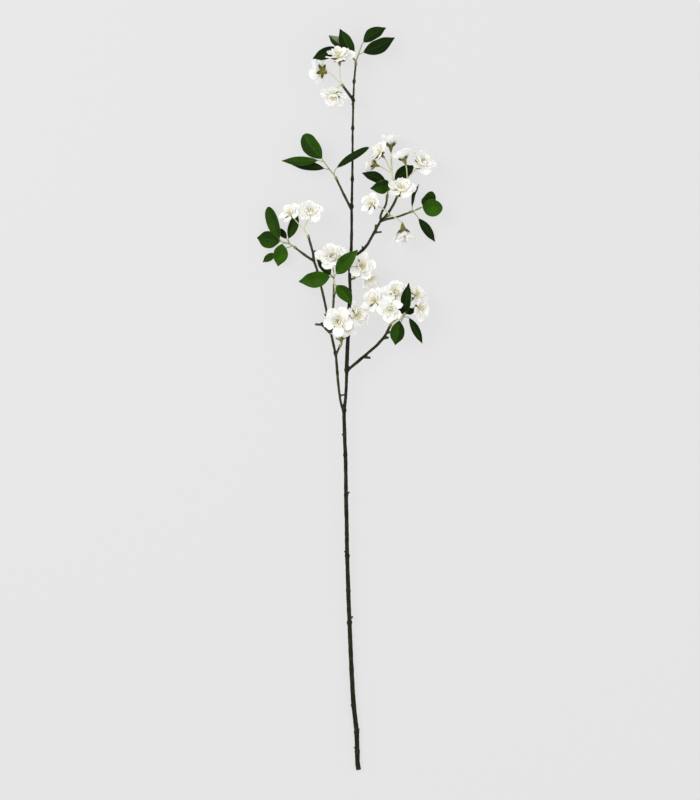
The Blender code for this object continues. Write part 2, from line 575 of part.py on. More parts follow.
def add_corolla(bm, bloom, seed):
    """A ring round the stamens whose edge runs out into petals, inner and outer ones in turn."""
    noise = random.Random(seed)
    heart = Vector(bloom.heart)
    facing, right, ahead = bloom_axes(bloom)
    step = 2 * math.pi / PETAL_SECTORS
    turn = noise.uniform(0, step * 2)

    def on_ring(angle, radius, height):
        return heart + (right * math.cos(angle) + ahead * math.sin(angle)) * radius + facing * height

    def pair(point, normal, thick):
        return tuple(bm.verts.new((point + normal * half) * MM) for half in (thick / 2, -thick / 2))

    angles = [turn + step * index for index in range(PETAL_SECTORS)]
    holes = [pair(on_ring(angle, RING_HOLE, 0), facing, RING_THICK) for angle in angles]
    valleys = [bm.verts.new(on_ring(angle + step / 2, RING_OUTER, RING_VALLEY_HEIGHT) * MM)
               for angle in angles]
    missing = INNER_SECTORS[bloom.inner:]

    def both(first, second, third):
        """The same triangle on the upper and on the lower face, from (upper, lower) pairs or edge points."""
        for layer in (0, 1):
            corners = [c[layer] if isinstance(c, tuple) else c for c in (first, second, third)]
            bm.faces.new(corners if layer == 0 else corners[::-1])

    for index, angle in enumerate(angles):
        hole, after = holes[index], holes[(index + 1) % PETAL_SECTORS]
        low, high = valleys[index - 1], valleys[index]
        both(hole, high, after)
        bm.faces.new((hole[0], after[0], after[1], hole[1]))
        if index in missing:
            both(hole, low, high)
            continue
        edges, notch, rib, lift = petal_points(bloom, angle, index in INNER_SECTORS, noise)
        near, far = [pair(point, lift, PETAL_THICK) for point in rib]
        tip = bm.verts.new(notch * MM)
        left, right_side = [[bm.verts.new(point * MM) for point in edge] for edge in edges]
        for valley, (shoulder, wide, lobe), flip in ((low, left, False), (high, right_side, True)):
            strip = [(hole, near, valley), (valley, near, shoulder), (shoulder, near, wide),
                     (wide, near, far), (wide, far, lobe), (lobe, far, tip)]
            for first, second, third in strip:
                if flip:
                    first, third = third, first
                both(first, second, third)


def make_corolla(bloom_name, bloom):
    seed = sum(ord(letter) * (place + 7) for place, letter in enumerate(bloom_name))
    corolla = mesh_object(f"petals_{bloom_name}", lambda bm: add_corolla(bm, bloom, seed))
    paint(corolla, PETAL_WHITE)
    corolla.data.shade_smooth()
    corolla.data.set_sharp_from_angle(angle=PETAL_SHARP)


def add_leaf(bm, leaf, seed):
    """Petiole and blade as one skin of four-cornered rings: left edge, upper rib, right edge, lower rib."""
    noise = random.Random(seed)
    start, base, tip = Vector(leaf.start), Vector(leaf.base), Vector(leaf.tip)
    along = (tip - base).normalized()
    upper = across(along, leaf.upper)
    side = along.cross(upper)
    reach = (base - start).length
    first_handle = start.lerp(base, PETIOLE_EASE) + upper * reach * PETIOLE_ARCH
    last_handle = base - along * reach * PETIOLE_EASE
    petiole = interpolate_bezier(start, first_handle, last_handle, base, 3)
    rings = []
    for (point, across_it, other) in path_frames(petiole):
        forwards = across_it.cross(other)
        over = across(forwards, upper) * PETIOLE_RADIUS
        sideways = forwards.cross(over)
        rings.append((point - sideways, point + over, point + sideways, point - over))
    for share, width in LEAF_WIDTHS:
        centre = base.lerp(tip, share) + upper * leaf.bow * 4 * share * (1 - share)
        half = leaf.half_width * width
        lifts = [half * LEAF_FOLD + noise.uniform(-LEAF_WAVE, LEAF_WAVE) * width for _ in range(2)]
        rings.append((
            centre - side * half + upper * lifts[0],
            centre + upper * LEAF_THICK / 2,
            centre + side * half + upper * lifts[1],
            centre - upper * LEAF_THICK / 2))
    blade_skin(bm, rings, tip)


def blade_skin(bm, rings, tip):
    """Triangles over four-cornered rings, split the same way on the upper and the lower face."""
    loops = [[bm.verts.new(point * MM) for point in ring] for ring in rings]
    end = bm.verts.new(tip * MM)
    left, top, right, bottom = loops[0]
    bm.faces.new((left, bottom, top))
    bm.faces.new((top, bottom, right))
    for (l0, t0, r0, b0), (l1, t1, r1, b1) in zip(loops, loops[1:]):
        for corners in ((l0, t0, t1), (l0, t1, l1), (t0, r0, t1), (r0, r1, t1),
                        (l0, b1, b0), (l0, l1, b1), (b0, b1, r0), (r0, b1, r1)):
            bm.faces.new(corners)
    left, top, right, bottom = loops[-1]
    for first, second in ((left, top), (top, right), (right, bottom), (bottom, left)):
        bm.faces.new((first, second, end))


def make_shoot(name, shoot):
    """Green stalk and leaves of one leafy shoot, fused into one body."""
    def collar(bm):
        points = stalk_points(shoot.twig, shoot.stalk)
        radii = [SHOOT_COLLAR_RADIUS] * 2 + [SHOOT_RADIUS] * (len(points) - 2)
        add_tube(bm, points, radii, TWIG_SIDES)

    def leaf_solid(leaf, seed):
        return lambda bm: add_leaf(bm, leaf, seed)

    builds = [collar]
    builds += [leaf_solid(leaf, len(name) * 100 + number) for number, leaf in enumerate(shoot.leaves)]
    green = fuse(f"leaves_{name}", builds)
    paint(green, LEAF_GREEN)


def centre_on_origin():
    """Moves every mesh so that the middle of the branch's box, at the surface, is the origin."""
    corners = [obj.matrix_world @ Vector(corner) for obj in bpy.data.objects for corner in obj.bound_box]
    low = Vector([min(corner[axis] for corner in corners) for axis in range(3)])
    high = Vector([max(corner[axis] for corner in corners) for axis in range(3)])
    shift = Matrix.Translation(Vector((-(low.x + high.x) / 2, -(low.y + high.y) / 2, -low.z)))
    for obj in bpy.data.objects:
        obj.data.transform(shift)


clear_scene()
make_wood()
for spray_name, spray in SPRAYS.items():
    make_spray(spray_name, spray)
for shoot_name, shoot in SHOOTS.items():
    make_shoot(shoot_name, shoot)
centre_on_origin()
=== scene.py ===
"""The almond blossom branch, dressed: bark, leaves, blossoms and buds, with the light and the camera.

The layout is the same as in the part's source: millimetres in a frame where X runs across the branch, Y
along it from the cut end and Z up from the surface. place() brings a point from there to the row's frame.
"""

import math
import random
from collections import namedtuple
from itertools import accumulate

import bmesh
import bpy
import numpy as np
from mathutils import Matrix, Vector
from mathutils.geometry import interpolate_bezier


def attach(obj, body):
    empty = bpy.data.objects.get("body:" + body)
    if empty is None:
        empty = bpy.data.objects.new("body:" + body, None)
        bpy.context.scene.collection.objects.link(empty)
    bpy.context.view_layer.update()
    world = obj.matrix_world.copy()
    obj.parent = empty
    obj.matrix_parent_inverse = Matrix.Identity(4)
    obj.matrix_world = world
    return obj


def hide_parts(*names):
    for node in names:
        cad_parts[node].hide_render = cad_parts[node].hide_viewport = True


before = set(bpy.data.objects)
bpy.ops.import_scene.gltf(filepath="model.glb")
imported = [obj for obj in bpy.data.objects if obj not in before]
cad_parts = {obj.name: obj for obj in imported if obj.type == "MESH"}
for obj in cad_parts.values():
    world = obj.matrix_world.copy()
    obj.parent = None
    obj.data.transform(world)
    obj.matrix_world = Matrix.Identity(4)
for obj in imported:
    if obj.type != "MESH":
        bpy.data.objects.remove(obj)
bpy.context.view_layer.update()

MM = 0.001
UP = Vector((0, 0, 1))
ORIGIN_SHIFT = Vector((0, -557.93557, 0))

# The layout of the branch
Twig = namedtuple("Twig", "points first_radius last_radius")
Stem = namedtuple("Stem", "points girth swellings")

# girth is the radius at some distances from the stem's foot, and swellings are (distance, height) rings.
MAIN_STEM = Stem((
    (13, 0, 3.8), (11.5, 10, 4.0), (10, 58, 5.5), (5.5, 96, 7), (2.5, 147, 9), (0.5, 191, 10.5),
    (-1, 227, 12), (-2.5, 267, 13.5), (-4, 314, 15), (-5, 368, 17), (-6, 415, 18.5), (-6.5, 461, 20),
    (-8, 503, 21.5), (-9, 539, 23), (-7, 557, 23.5), (-5.6, 577, 24), (-5, 602, 25), (-4, 629, 25.7),
    (-3, 654, 26.5), (0, 726, 28.5), (-0.5, 751, 29.5), (2, 788, 30.5), (2.5, 842, 32), (3.5, 891, 33),
    (4, 963, 34), (5, 1008, 34.5), (6, 1033, 35), (8.5, 1059, 36)),
    ((0, 3.8), (540, 2.85), (556, 2.45), (597, 2.5), (607, 3.2), (668, 3.1), (700, 2.5), (820, 2.3),
     (905, 1.8), (1090, 1.55)),
    ((28, 0.5), (57, 0.7), (97, 0.5), (153, 0.3), (223, 1.0), (271, 0.6), (324, 0.9), (357, 0.4), (415, 0.5),
     (476, 0.6), (543, 1.2), (603, 1.3), (722, 0.9), (770, 1.1), (849, 1.5), (890, 1.2), (966, 1.2),
     (1008, 1.7), (1036, 1.1)))

LEFT_BRANCH = Stem((
    (-9, 537, 23), (-12.4, 548, 24), (-14.8, 559, 25), (-18.3, 589, 26), (-21, 623, 26.5),
    (-28, 655, 26.5), (-33.5, 681, 26), (-37, 700, 25.5), (-43, 726, 25), (-50, 754, 24),
    (-54.5, 767, 23.5)), ((0, 2.2), (14, 1.9), (50, 2.0), (80, 2.2), (150, 2.0), (250, 1.9)),
    ((62, 0.4), (92, 0.9), (131, 0.6), (216, 0.9)))

TWIGS = {
    "c_twig": Twig(((-54, 765, 23.5), (-56, 779, 24), (-59, 790, 25), (-62, 801, 26)), 1.7, 1.3),
    "l5_twig": Twig(((-53, 765, 23.5), (-72, 778, 22), (-81, 785, 20.5)), 1.6, 1.2),
    "l6_twig": Twig(((-28, 652, 26.5), (-26.5, 674, 29), (-25, 700, 28.5), (-24, 727, 27.5)), 1.5, 1.1),
    "d_spur": Twig(((-24.6, 709, 28), (-23, 717, 32)), 1.2, 1.0),
    "low_twig": Twig(((-21, 625, 26.5), (-18, 632, 30), (-15.5, 637, 33)), 1.4, 1.1),
    "left_stub": Twig(((-28, 655, 26.5), (-38, 666, 26), (-43.5, 673.5, 25)), 1.1, 1.8),
    "left_stub_fork": Twig(((-40, 670, 25.6), (-52.5, 671, 24)), 1.4, 1.2),
    "r_twig": Twig(((-5, 601, 25), (20, 622, 26), (50, 650, 28), (58, 664, 31), (60, 668, 34)), 2.0, 1.6),
    "r_leaf_spur": Twig(((54, 657, 29.3), (64, 660, 33)), 1.3, 1.1),
    "r_spur_low": Twig(((20, 622, 26), (31, 620.5, 26)), 1.6, 1.4),
    "r_spur_high": Twig(((50, 650, 28), (58.5, 651, 28)), 1.6, 1.4),
    "b_twig": Twig(((0.5, 770, 30), (20, 783, 31), (36, 808, 32), (46.5, 827, 32)), 1.9, 1.5),
    "b_spur": Twig(((36, 808, 32), (48, 809.5, 31)), 1.3, 1.0),
    "b_stub": Twig(((38, 811, 32), (38.5, 820.5, 33)), 1.3, 1.0),
    "b_left_arm": Twig(((46, 825, 32), (46, 834, 32), (54, 851, 32), (55.5, 861, 32)), 1.4, 1.2),
    "b_middle_arm": Twig(((46, 825, 32), (53, 832, 32), (65, 850, 33), (70, 861, 34)), 1.8, 1.4),
    "b_right_arm": Twig(((46, 825, 32), (54, 828, 31), (71, 832, 29.5), (90, 839, 27)), 1.4, 1.1),
    "b_axil_stub": Twig(((52, 830, 32), (57, 833, 36)), 1.2, 1.0),
    "ml_twig": Twig(((2.5, 842, 32), (-9, 865, 33), (-20, 888, 34)), 1.7, 1.2),
    "a_spur": Twig(((5, 1007, 34.5), (-10, 1027, 36.5)), 1.8, 1.4),
    "e_spur": Twig(((0, 737, 29), (5, 739.5, 35)), 1.3, 1.1),
    "g_spur": Twig(((-2.5, 671, 27), (-3, 674, 33)), 1.3, 1.1),
    "fork_stub": Twig(((-14.5, 564, 25), (-7, 565.5, 24)), 1.0, 1.0),
}
MAIN_TIP = "main_stem"

Bud = namedtuple("Bud", "root towards length")
BUDS = (
    Bud((11, 30, 5), (-1, 0.9, 0.3), 5), Bud((9.5, 58, 6), (1, 0.8, 0.4), 5),
    Bud((6, 94, 7.5), (-1, 0.9, 0.5), 5.5), Bud((-1.5, 227, 12.5), (1, 0.8, 0.5), 6.5),
    Bud((-4, 326, 15.5), (-1, 0.9, 0.4), 5), Bud((-5.5, 415, 19), (1, 0.9, 0.4), 5),
    Bud((-8.5, 503, 22), (-1, 0.9, 0.3), 3.5), Bud((-56, 779, 24.5), (1, 0.6, 0.5), 4),
    Bud((20, 783, 31.5), (-0.4, 1, 0.5), 4.5), Bud((4, 1000, 34.5), (0.25, 0.8, 0.8), 4),
    Bud((-34, 683, 26.5), (-1, 0.7, 0.4), 4.5), Bud((3.5, 892, 33.5), (0.25, 0.8, 0.8), 4.5),
)

# A bloom faces away from its stalk. closing is how many degrees further than an open bloom's its petals
# stand up, inner is how many inner petals it has, and start is where its stalk leaves a shared one.
Bloom = namedtuple("Bloom", "heart facing size closing inner start", defaults=(None,))
Spray = namedtuple("Spray", "twig stalks blooms")

SPRAYS = {
    "a": Spray("a_spur", (), {
        "a1": Bloom((-16, 1069.5, 50), (-0.05, 0.85, 0.52), 1.18, 0, 4),
        "a2": Bloom((-43, 1051, 31), (-0.66, 0.1, -0.7), 0.98, 6, 4),
        "a3": Bloom((-23.5, 1014, 47), (-0.2, -0.72, 0.55), 1.04, 2, 5)}),
    "b_top": Spray("b_middle_arm", (
        ((70, 862, 34.5), (66, 878, 35), (63, 898, 35), (62, 918, 31)),
        ((68, 870, 34.8), (80, 884, 36), (86, 890, 37))), {
        "b1": Bloom((61, 940, 27), (-0.05, 0.97, 0.0), 0.98, 36, 4, (62, 917, 31)),
        "b2": Bloom((44, 926, 46), (-0.7, 0.55, 0.45), 0.95, 4, 4, (63, 897, 35)),
        "b2b": Bloom((36, 911, 22), (-0.85, 0.3, -0.3), 0.85, 12, 4, (63, 897, 35)),
        "b3": Bloom((80, 918, 53), (-0.35, 0.88, 0.1), 0.95, 28, 4, (86, 889, 37)),
        "b4": Bloom((106, 911, 42), (0.5, 0.55, 0.65), 1.15, 0, 5, (86, 889, 37)),
        "b5": Bloom((76, 871, 52), (0.1, 0.66, 0.74), 1.12, 0, 5)}),
    "b_axil": Spray("b_axil_stub", (), {
        "b6": Bloom((32.5, 850.5, 42), (-0.62, 0.2, 0.75), 0.86, 4, 4),
        "b7": Bloom((80, 810, 34), (0.13, -0.96, 0.18), 1.2, 24, 4)}),
    "c": Spray("c_twig", (((-62, 802, 26), (-66, 808, 28), (-70, 814, 30)),), {
        "c1": Bloom((-60, 837, 45), (0.15, 0.6, 0.78), 1.05, 0, 5, (-70, 813, 30)),
        "c2": Bloom((-89.5, 836, 33), (-0.45, 0.5, 0.7), 0.84, 4, 4, (-70, 813, 30))}),
    "d": Spray("d_spur", (), {
        "d1": Bloom((-27, 770, 38), (-0.04, 0.48, 0.87), 1.2, 0, 5)}),
    "e": Spray("e_spur", (), {
        "e1": Bloom((16, 757.5, 46), (0.4, 0.08, 0.9), 1.1, 6, 5),
        "e2": Bloom((27, 741, 33), (0.72, -0.3, 0.55), 1.02, 4, 4)}),
    "f": Spray("r_twig", (), {
        "f1": Bloom((37, 705, 44), (-0.5, 0.45, 0.72), 1.08, 0, 4),
        "f2": Bloom((68, 717, 47), (0.02, 0.6, 0.8), 1.06, 0, 5),
        "f3": Bloom((60, 692.5, 68), (-0.05, -0.2, 0.95), 0.97, 0, 5),
        "f4": Bloom((98, 714, 37), (0.45, 0.6, 0.62), 0.95, 2, 4),
        "f5": Bloom((104, 694, 51), (0.75, -0.1, 0.6), 0.95, 2, 4),
        "f6": Bloom((107, 689, 27), (0.9, -0.05, -0.2), 0.85, 8, 4)}),
    "g": Spray("g_spur", (), {
        "g1": Bloom((-17.5, 675, 60.5), (-0.15, 0.05, 0.97), 1.12, 0, 5),
        "g2": Bloom((9, 684, 40), (0.66, 0.3, 0.68), 1.08, 0, 4),
        "g3": Bloom((-4, 668, 43), (0.1, -0.35, 0.9), 0.85, 4, 4)}),
    "g_low": Spray("low_twig", (), {
        "g4": Bloom((-13.5, 649.5, 39), (-0.12, 0.97, -0.1), 0.82, 20, 4)}),
}

Leaf = namedtuple("Leaf", "start base tip half_width upper bow")
Shoot = namedtuple("Shoot", "twig stalk leaves")

SHOOTS = {
    "top": Shoot(MAIN_TIP, ((13, 1076, 37), (18, 1090, 38)), (
        Leaf((9.5, 1065, 36.4), (5, 1071, 35), (-15, 1114, 28), 9, (-0.2, 0.1, 1), 4),
        Leaf((9.2, 1064, 36.2), (-5, 1080, 30), (-32, 1105, 20), 7.5, (0.1, 0.3, 1), 3),
        Leaf((9, 1063, 36), (-20, 1086, 31), (-56, 1070, 24), 8, (0, -0.3, 1), 4),
        Leaf((17, 1087, 37.8), (20, 1093, 38), (54, 1115, 33), 9, (-0.2, 0.3, 1), 4),
        Leaf((13, 1075, 37), (20, 1078, 37), (67, 1101, 29), 10, (0.2, -0.3, 1), 4))),
    "mid_left": Shoot("ml_twig", ((-30, 902, 34), (-41, 917, 33)), (
        Leaf((-40, 915, 33), (-42, 919, 33), (-70.5, 957, 22), 11.6, (-0.2, -0.2, 1), 4),
        Leaf((-39, 914, 33), (-48, 916.5, 32), (-103, 917, 16), 6.2, (0, -0.2, 1), 3),
        Leaf((-30.5, 902.5, 33.6), (-38.5, 904.5, 27), (-87, 911, 8), 6.2, (0, 0.2, 1), 3),
        Leaf((-24, 893, 34), (-20, 905, 38), (30, 936, 47), 5.2, (-0.3, 0.2, 1), 4))),
    "back_left": Shoot("b_left_arm", ((56.5, 868, 33),), (
        Leaf((56, 866, 32.8), (54, 883, 32), (18, 898, 26), 7.5, (0.2, 0.3, 1), 3),
        Leaf((56.3, 867, 33), (60, 881, 38), (30, 873.5, 51), 9.5, (0.4, -0.3, 1), 3),
        Leaf((56.5, 867.5, 33), (67, 888, 26), (97, 910, 14), 8.5, (0, 0.2, 1), 2))),
    "back_right": Shoot("b_right_arm", ((97, 841.5, 26),), (
        Leaf((94, 840.5, 26.6), (93.5, 847, 28), (104, 881, 29), 5, (-1, 0.2, 0.5), 2),
        Leaf((96, 841, 26.2), (109, 847, 27), (140, 845, 38), 11.5, (-0.2, -0.2, 1), 3),
        Leaf((96.5, 841.5, 26), (110, 849, 21), (123.5, 871, 34), 9.2, (0.3, -0.4, 0.8), 2),
        Leaf((95, 840.5, 26.4), (103, 830, 21), (128, 796, 0), 6, (0.3, -0.2, 1), 3))),
    "far_left": Shoot("l5_twig", ((-87.5, 790, 18.5), (-94.5, 793, 17)), (
        Leaf((-92, 791.8, 17.5), (-106, 799, 17), (-123.5, 849.5, 7), 8.2, (-0.2, -0.1, 1), 4),
        Leaf((-94, 793, 17), (-105, 796, 15), (-140, 802, 0), 11.5, (0, -0.1, 1), 3),
        Leaf((-91, 791.5, 17.6), (-95.5, 800, 11), (-109, 817, 4), 4.5, (0, 0.2, 1), 1),
        Leaf((-90, 791, 17.9), (-92.5, 800, 15), (-79.5, 842, 5), 6.8, (0.3, 0, 1), 2),
        Leaf((-92, 791.8, 17.5), (-102, 792, 17.5), (-108.5, 758.5, 11), 9.8, (0.1, -0.2, 1), 3),
        Leaf((-86, 789, 18.9), (-113, 778, 6), (-131.5, 765, 2.5), 5, (0, 0.1, 1), 1))),
    "inner_left": Shoot("l6_twig", ((-24, 735, 28.5), (-24, 742, 29.5)), (
        Leaf((-24, 740, 29.3), (-20.5, 746, 47), (12, 781, 70), 9.8, (-0.3, 0.0, 1), 3),
        Leaf((-24, 731.5, 28.1), (-20.5, 729, 31), (3, 700, 36), 9.5, (0.3, 0.3, 1), 2),
        Leaf((-24, 739, 29.1), (-30, 742.5, 32), (-77, 735, 26), 10.8, (0, -0.2, 1), 4),
        Leaf((-24, 740, 29.3), (-29, 746, 30), (-50, 768, 32), 7, (0.2, 0.2, 1), 2),
        Leaf((-24, 739.5, 29.1), (-29, 745, 25), (-39, 753, 20), 3.5, (0, 0.3, 1), 1))),
    "right": Shoot("r_leaf_spur", ((74, 670, 43), (80.5, 683, 52)), (
        Leaf((80, 682, 51.5), (83, 687, 56), (88, 732, 68), 7.3, (-0.4, -0.2, 1), 2),
        Leaf((79.5, 681, 51), (79.5, 686, 50), (75.5, 700.5, 49), 5, (0, 0, 1), 1),
        Leaf((80, 681.5, 51.3), (83, 687, 49), (97, 693, 45), 4.5, (0, 0, 1), 1),
        Leaf((79, 679.5, 50), (73.5, 676, 46), (68, 640, 30), 9.5, (0, -0.1, 1), 3),
        Leaf((79.5, 681, 51), (88.5, 680, 48), (108.5, 642, 26), 5.4, (0.2, -0.1, 1), 3))),
}

# How light each shoot's leaves are, from 0 for an old dark leaf to 1 for a fresh one. A leaf with two
# tones has one for each half: the darker half is painted shade of its fold, and the lighter half its lit
# side.
# A half above 1 is turned up, so that its pale underside shows.
LEAF_TONES_AND_FOLD_SHADE = {
    "top": ((0.1, 0.3), (0.3, 1.6), 0.1, (0.25, 0.1), (0.2, 0.05)),
    "mid_left": ((0.35, 0.6), (0.45, 0.7), 0.0, (0.2, 0.1)),
    "back_left": (0.0, (0.55, 0.3), 0.05),
    "back_right": (0.2, (0.7, 1.0), 0.4, (0.2, 0.05)),
    "far_left": ((0.6, 0.4), (0.5, 0.35), 0.0, (0.2, 0.45), (1.0, 1.0), 0.5),
    "inner_left": ((0.6, 0.8), (0.5, 0.9), (1.0, 0.75), (0.2, 0.4), 0.1),
    "right": ((0.0, 0.15), 0.0, 0.05, (0.3, 0.6), (0.05, 0.2)),
}

# Shared with the part's source: sizes in millimetres, angles in radians, the rest in shares
JOIN_GAP = 0.3
COLLAR_LENGTH = 4.0
SWELLING_REACH = 4.0
PETAL_SECTORS = 10
PETAL_STEP = 2 * math.pi / PETAL_SECTORS
PETAL_ROOT = 2.6
OUTER_PETAL = 17.6
INNER_PETAL = 13.6
OUTER_RISE = math.radians(17)
INNER_RISE = math.radians(47)
OUTER_HALF_WIDTH = 0.41
INNER_HALF_WIDTH = 0.36
PETAL_TWIST = math.radians(13)
PETAL_TURN_NOISE = 3.0
PETAL_LENGTH_NOISE = (0.94, 1.04)
INNER_SECTORS = (1, 5, 3, 7, 9)
CUP_LENGTH = 6.0
STALK_EASE = 0.35
PETIOLE_ARCH = 0.1
PETIOLE_EASE = 0.35


def place(point):
    return (Vector(point) + ORIGIN_SHIFT) * MM


def unit(vector):
    return Vector(vector).normalized()


def across(direction, hint=UP):
    """A unit vector at right angles to direction, as near to hint as it can be."""
    side = Vector(hint) - direction * direction.dot(Vector(hint))
    if side.length < 1e-3:
        return across(direction, Vector((0, 1, 0)))
    return side.normalized()


def path_frames(points):
    """(point, side, other side) along a path, turned as little as can be from one point to the next."""
    points = [Vector(point) for point in points]
    frames = []
    side = None
    for index, point in enumerate(points):
        before = points[max(index - 1, 0)]
        after = points[min(index + 1, len(points) - 1)]
        tangent = (after - before).normalized()
        side = across(tangent, UP if side is None else side)
        frames.append((point, side, tangent.cross(side)))
    return frames


def lengths_along(points):
    steps = [(Vector(after) - Vector(before)).length for before, after in zip(points, points[1:])]
    return list(accumulate(steps, initial=0.0))


def point_at(points, lengths, distance):
    """The point at a distance along a path, whose points lie at lengths."""
    for low, high, first, last in zip(lengths, lengths[1:], points, points[1:]):
        if distance <= high:
            return Vector(first).lerp(Vector(last), (distance - low) / (high - low))
    return Vector(points[-1])


def between(stops, share):
    """The value at share in a row of (share, value) stops."""
    for (low, first), (high, last) in zip(stops, stops[1:]):
        if share <= high:
            return first + (last - first) * (share - low) / (high - low)
    return stops[-1][1]


def frame_matrix(x, y, z, origin):
    """The matrix that takes the unit axes to x, y and z, and the middle to origin."""
    matrix = Matrix((x, y, z)).transposed().to_4x4()
    matrix.translation = origin
    return matrix


# Modelling by hand

ROD_RESOLUTION = 3


def take(piece, *others):
    """Selects the pieces alone, with the first one active."""
    bpy.ops.object.select_all(action="DESELECT")
    for one in (piece, *others):
        one.select_set(True)
    bpy.context.view_layer.objects.active = piece


def start_from(add, **settings):
    """Adds a primitive with nothing else selected and opens it for editing."""
    bpy.ops.object.select_all(action="DESELECT")
    add(**settings)
    piece = bpy.context.object
    bpy.ops.object.transform_apply(location=True, rotation=True, scale=True)
    bpy.ops.object.mode_set(mode="EDIT")
    bpy.ops.mesh.select_mode(type="VERT")
    return piece


def plain_places(piece):
    """Where each vertex is on the primitive, before it is shaped."""
    return [vertex.co.copy() for vertex in bmesh.from_edit_mesh(piece.data).verts]


def pick(piece, wanted, places=None):
    """Selects the vertices whose place, or whose place in places, passes the test."""
    mesh = bmesh.from_edit_mesh(piece.data)
    for vertex in mesh.verts:
        vertex.select_set(wanted(places[vertex.index] if places else vertex.co))
    mesh.select_flush_mode()
    bmesh.update_edit_mesh(piece.data)


def done_editing():
    bpy.ops.object.mode_set(mode="OBJECT")


def finish_with(piece, kind, **settings):
    """Adds a modifier and applies it."""
    take(piece)
    modifier = piece.modifiers.new(kind.title(), kind)
    for name, value in settings.items():
        setattr(modifier, name, value)
    bpy.ops.object.modifier_apply(modifier=modifier.name)


def copy_of(model, matrix):
    """A copy with its own mesh, put in place by matrix."""
    piece = model.copy()
    piece.data = model.data.copy()
    piece.data.transform(matrix)
    if matrix.determinant() < 0:
        piece.data.flip_normals()
    bpy.context.scene.collection.objects.link(piece)
    return piece


def stand(model, point, direction, size, turn=0.0):
    """A copy of a model that points up, set at a point of the layout so that it points in a direction.

    size is how many millimetres its unit becomes, and turn is about its own axis.
    """
    tilt = UP.rotation_difference(unit(direction)).to_matrix().to_4x4() @ Matrix.Rotation(turn, 4, "Z")
    return copy_of(model, Matrix.Translation(place(point)) @ tilt @ Matrix.Scale(size * MM, 4))


def join(name, pieces):
    take(*pieces)
    if len(pieces) > 1:
        bpy.ops.object.join()
    piece = bpy.context.object
    piece.name = name
    piece.data.name = name
    return piece


def put_away(*models):
    for model in models:
        bpy.data.objects.remove(model, do_unlink=True)


def show(piece, slot, node, finish=None, smooth=60):
    """Gives a finished piece its material unless it has its own, smooths it, sets it on the body and hides
    the part that it stands for.
    """
    if finish:
        piece.data.materials.clear()
        piece.data.materials.append(finish.material)
    take(piece)
    bpy.ops.object.shade_smooth_by_angle(angle=math.radians(smooth))
    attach(piece, "root")
    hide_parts(node)


def soften(piece):
    finish_with(piece, "SUBSURF", levels=1, render_levels=1)


def thicken(blade, thickness, **settings):
    finish_with(blade, "SOLIDIFY", thickness=thickness, offset=0.0, **settings)


def roughen(piece, texture, strength, group=""):
    """Moves a surface in and out by a texture, as far as each vertex's weight in the group lets it."""
    finish_with(piece, "DISPLACE", texture=texture, strength=strength, mid_level=0.5, vertex_group=group,
                texture_coords="LOCAL", direction="NORMAL")


def raise_profile(profile, sides):
    """A closed round form about +Z, extruded ring by ring through (height, radius)."""
    low, radius = profile[0]
    form = start_from(bpy.ops.mesh.primitive_circle_add, vertices=sides, radius=radius, fill_type="NGON",
                      location=(0, 0, low))
    bpy.ops.mesh.select_all(action="SELECT")
    for (z, r), (above, wider) in zip(profile, profile[1:]):
        bpy.ops.mesh.extrude_region_move(TRANSFORM_OT_translate={"value": (0, 0, above - z)})
        bpy.ops.transform.resize(value=(wider / r, wider / r, 1), center_override=(0, 0, above))
    bpy.ops.mesh.select_all(action="SELECT")
    bpy.ops.mesh.normals_make_consistent(inside=False)
    done_editing()
    return form


def ring_of(blade, count, shift, reach, size, root):
    """Copies of a blade in a ring about +Z, turned by shift of a step.

    reach and root are (outwards, up), and size is the blade's half width, length and height.
    """
    ring = []
    for number in range(count):
        angle = 2 * math.pi * (number + shift) / count
        outwards = Vector((math.cos(angle), math.sin(angle), 0))
        side = outwards.cross(UP)
        along = (outwards * reach[0] + UP * reach[1]).normalized()
        ring.append(copy_of(blade, frame_matrix(side * size[0], along * size[1], side.cross(along) * size[2],
                                                outwards * root[0] + UP * root[1])))
    return ring


def start_curve():
    bpy.ops.object.select_all(action="DESELECT")
    bpy.ops.curve.primitive_bezier_curve_add()
    rod = bpy.context.object
    return rod, rod.data.splines[0].bezier_points


def draw_rod(points, radii, sides=2):
    """A round stem drawn as a soft curve through points of the layout, with a radius at each."""
    rod, knots = start_curve()
    knots.add(len(points) - 2)
    for knot, point, radius in zip(knots, points, radii):
        knot.co = place(point)
        knot.handle_left_type = "AUTO"
        knot.handle_right_type = "AUTO"
        knot.radius = radius * MM
    return harden(rod, ROD_RESOLUTION, sides)


def draw_stalk(path, radii, resolution=8, sides=2):
    """A thin stalk drawn as one curve, from its first end, its two handles and its last end."""
    start, first_handle, last_handle, end = path
    rod, knots = start_curve()
    for knot, point, before, after, radius in zip(
            knots, (start, end), (start * 2 - first_handle, last_handle),
            (first_handle, end * 2 - last_handle), radii):
        knot.handle_left_type = "FREE"
        knot.handle_right_type = "FREE"
        knot.co = point
        knot.handle_left = before
        knot.handle_right = after
        knot.radius = radius
    return harden(rod, resolution, sides)


def harden(rod, resolution, sides):
    """Turns a drawn curve into a closed mesh of its real thickness."""
    rod.data.dimensions = "3D"
    rod.data.resolution_u = resolution
    rod.data.bevel_depth = 1.0
    rod.data.bevel_resolution = sides
    rod.data.use_fill_caps = True
    take(rod)
    bpy.ops.object.convert(target="MESH")
    rod = bpy.context.object
    bpy.ops.object.mode_set(mode="EDIT")
    bpy.ops.mesh.select_all(action="SELECT")
    bpy.ops.mesh.remove_doubles(threshold=1e-6)
    bpy.ops.mesh.normals_make_consistent(inside=False)
    done_editing()
    return rod


# Materials

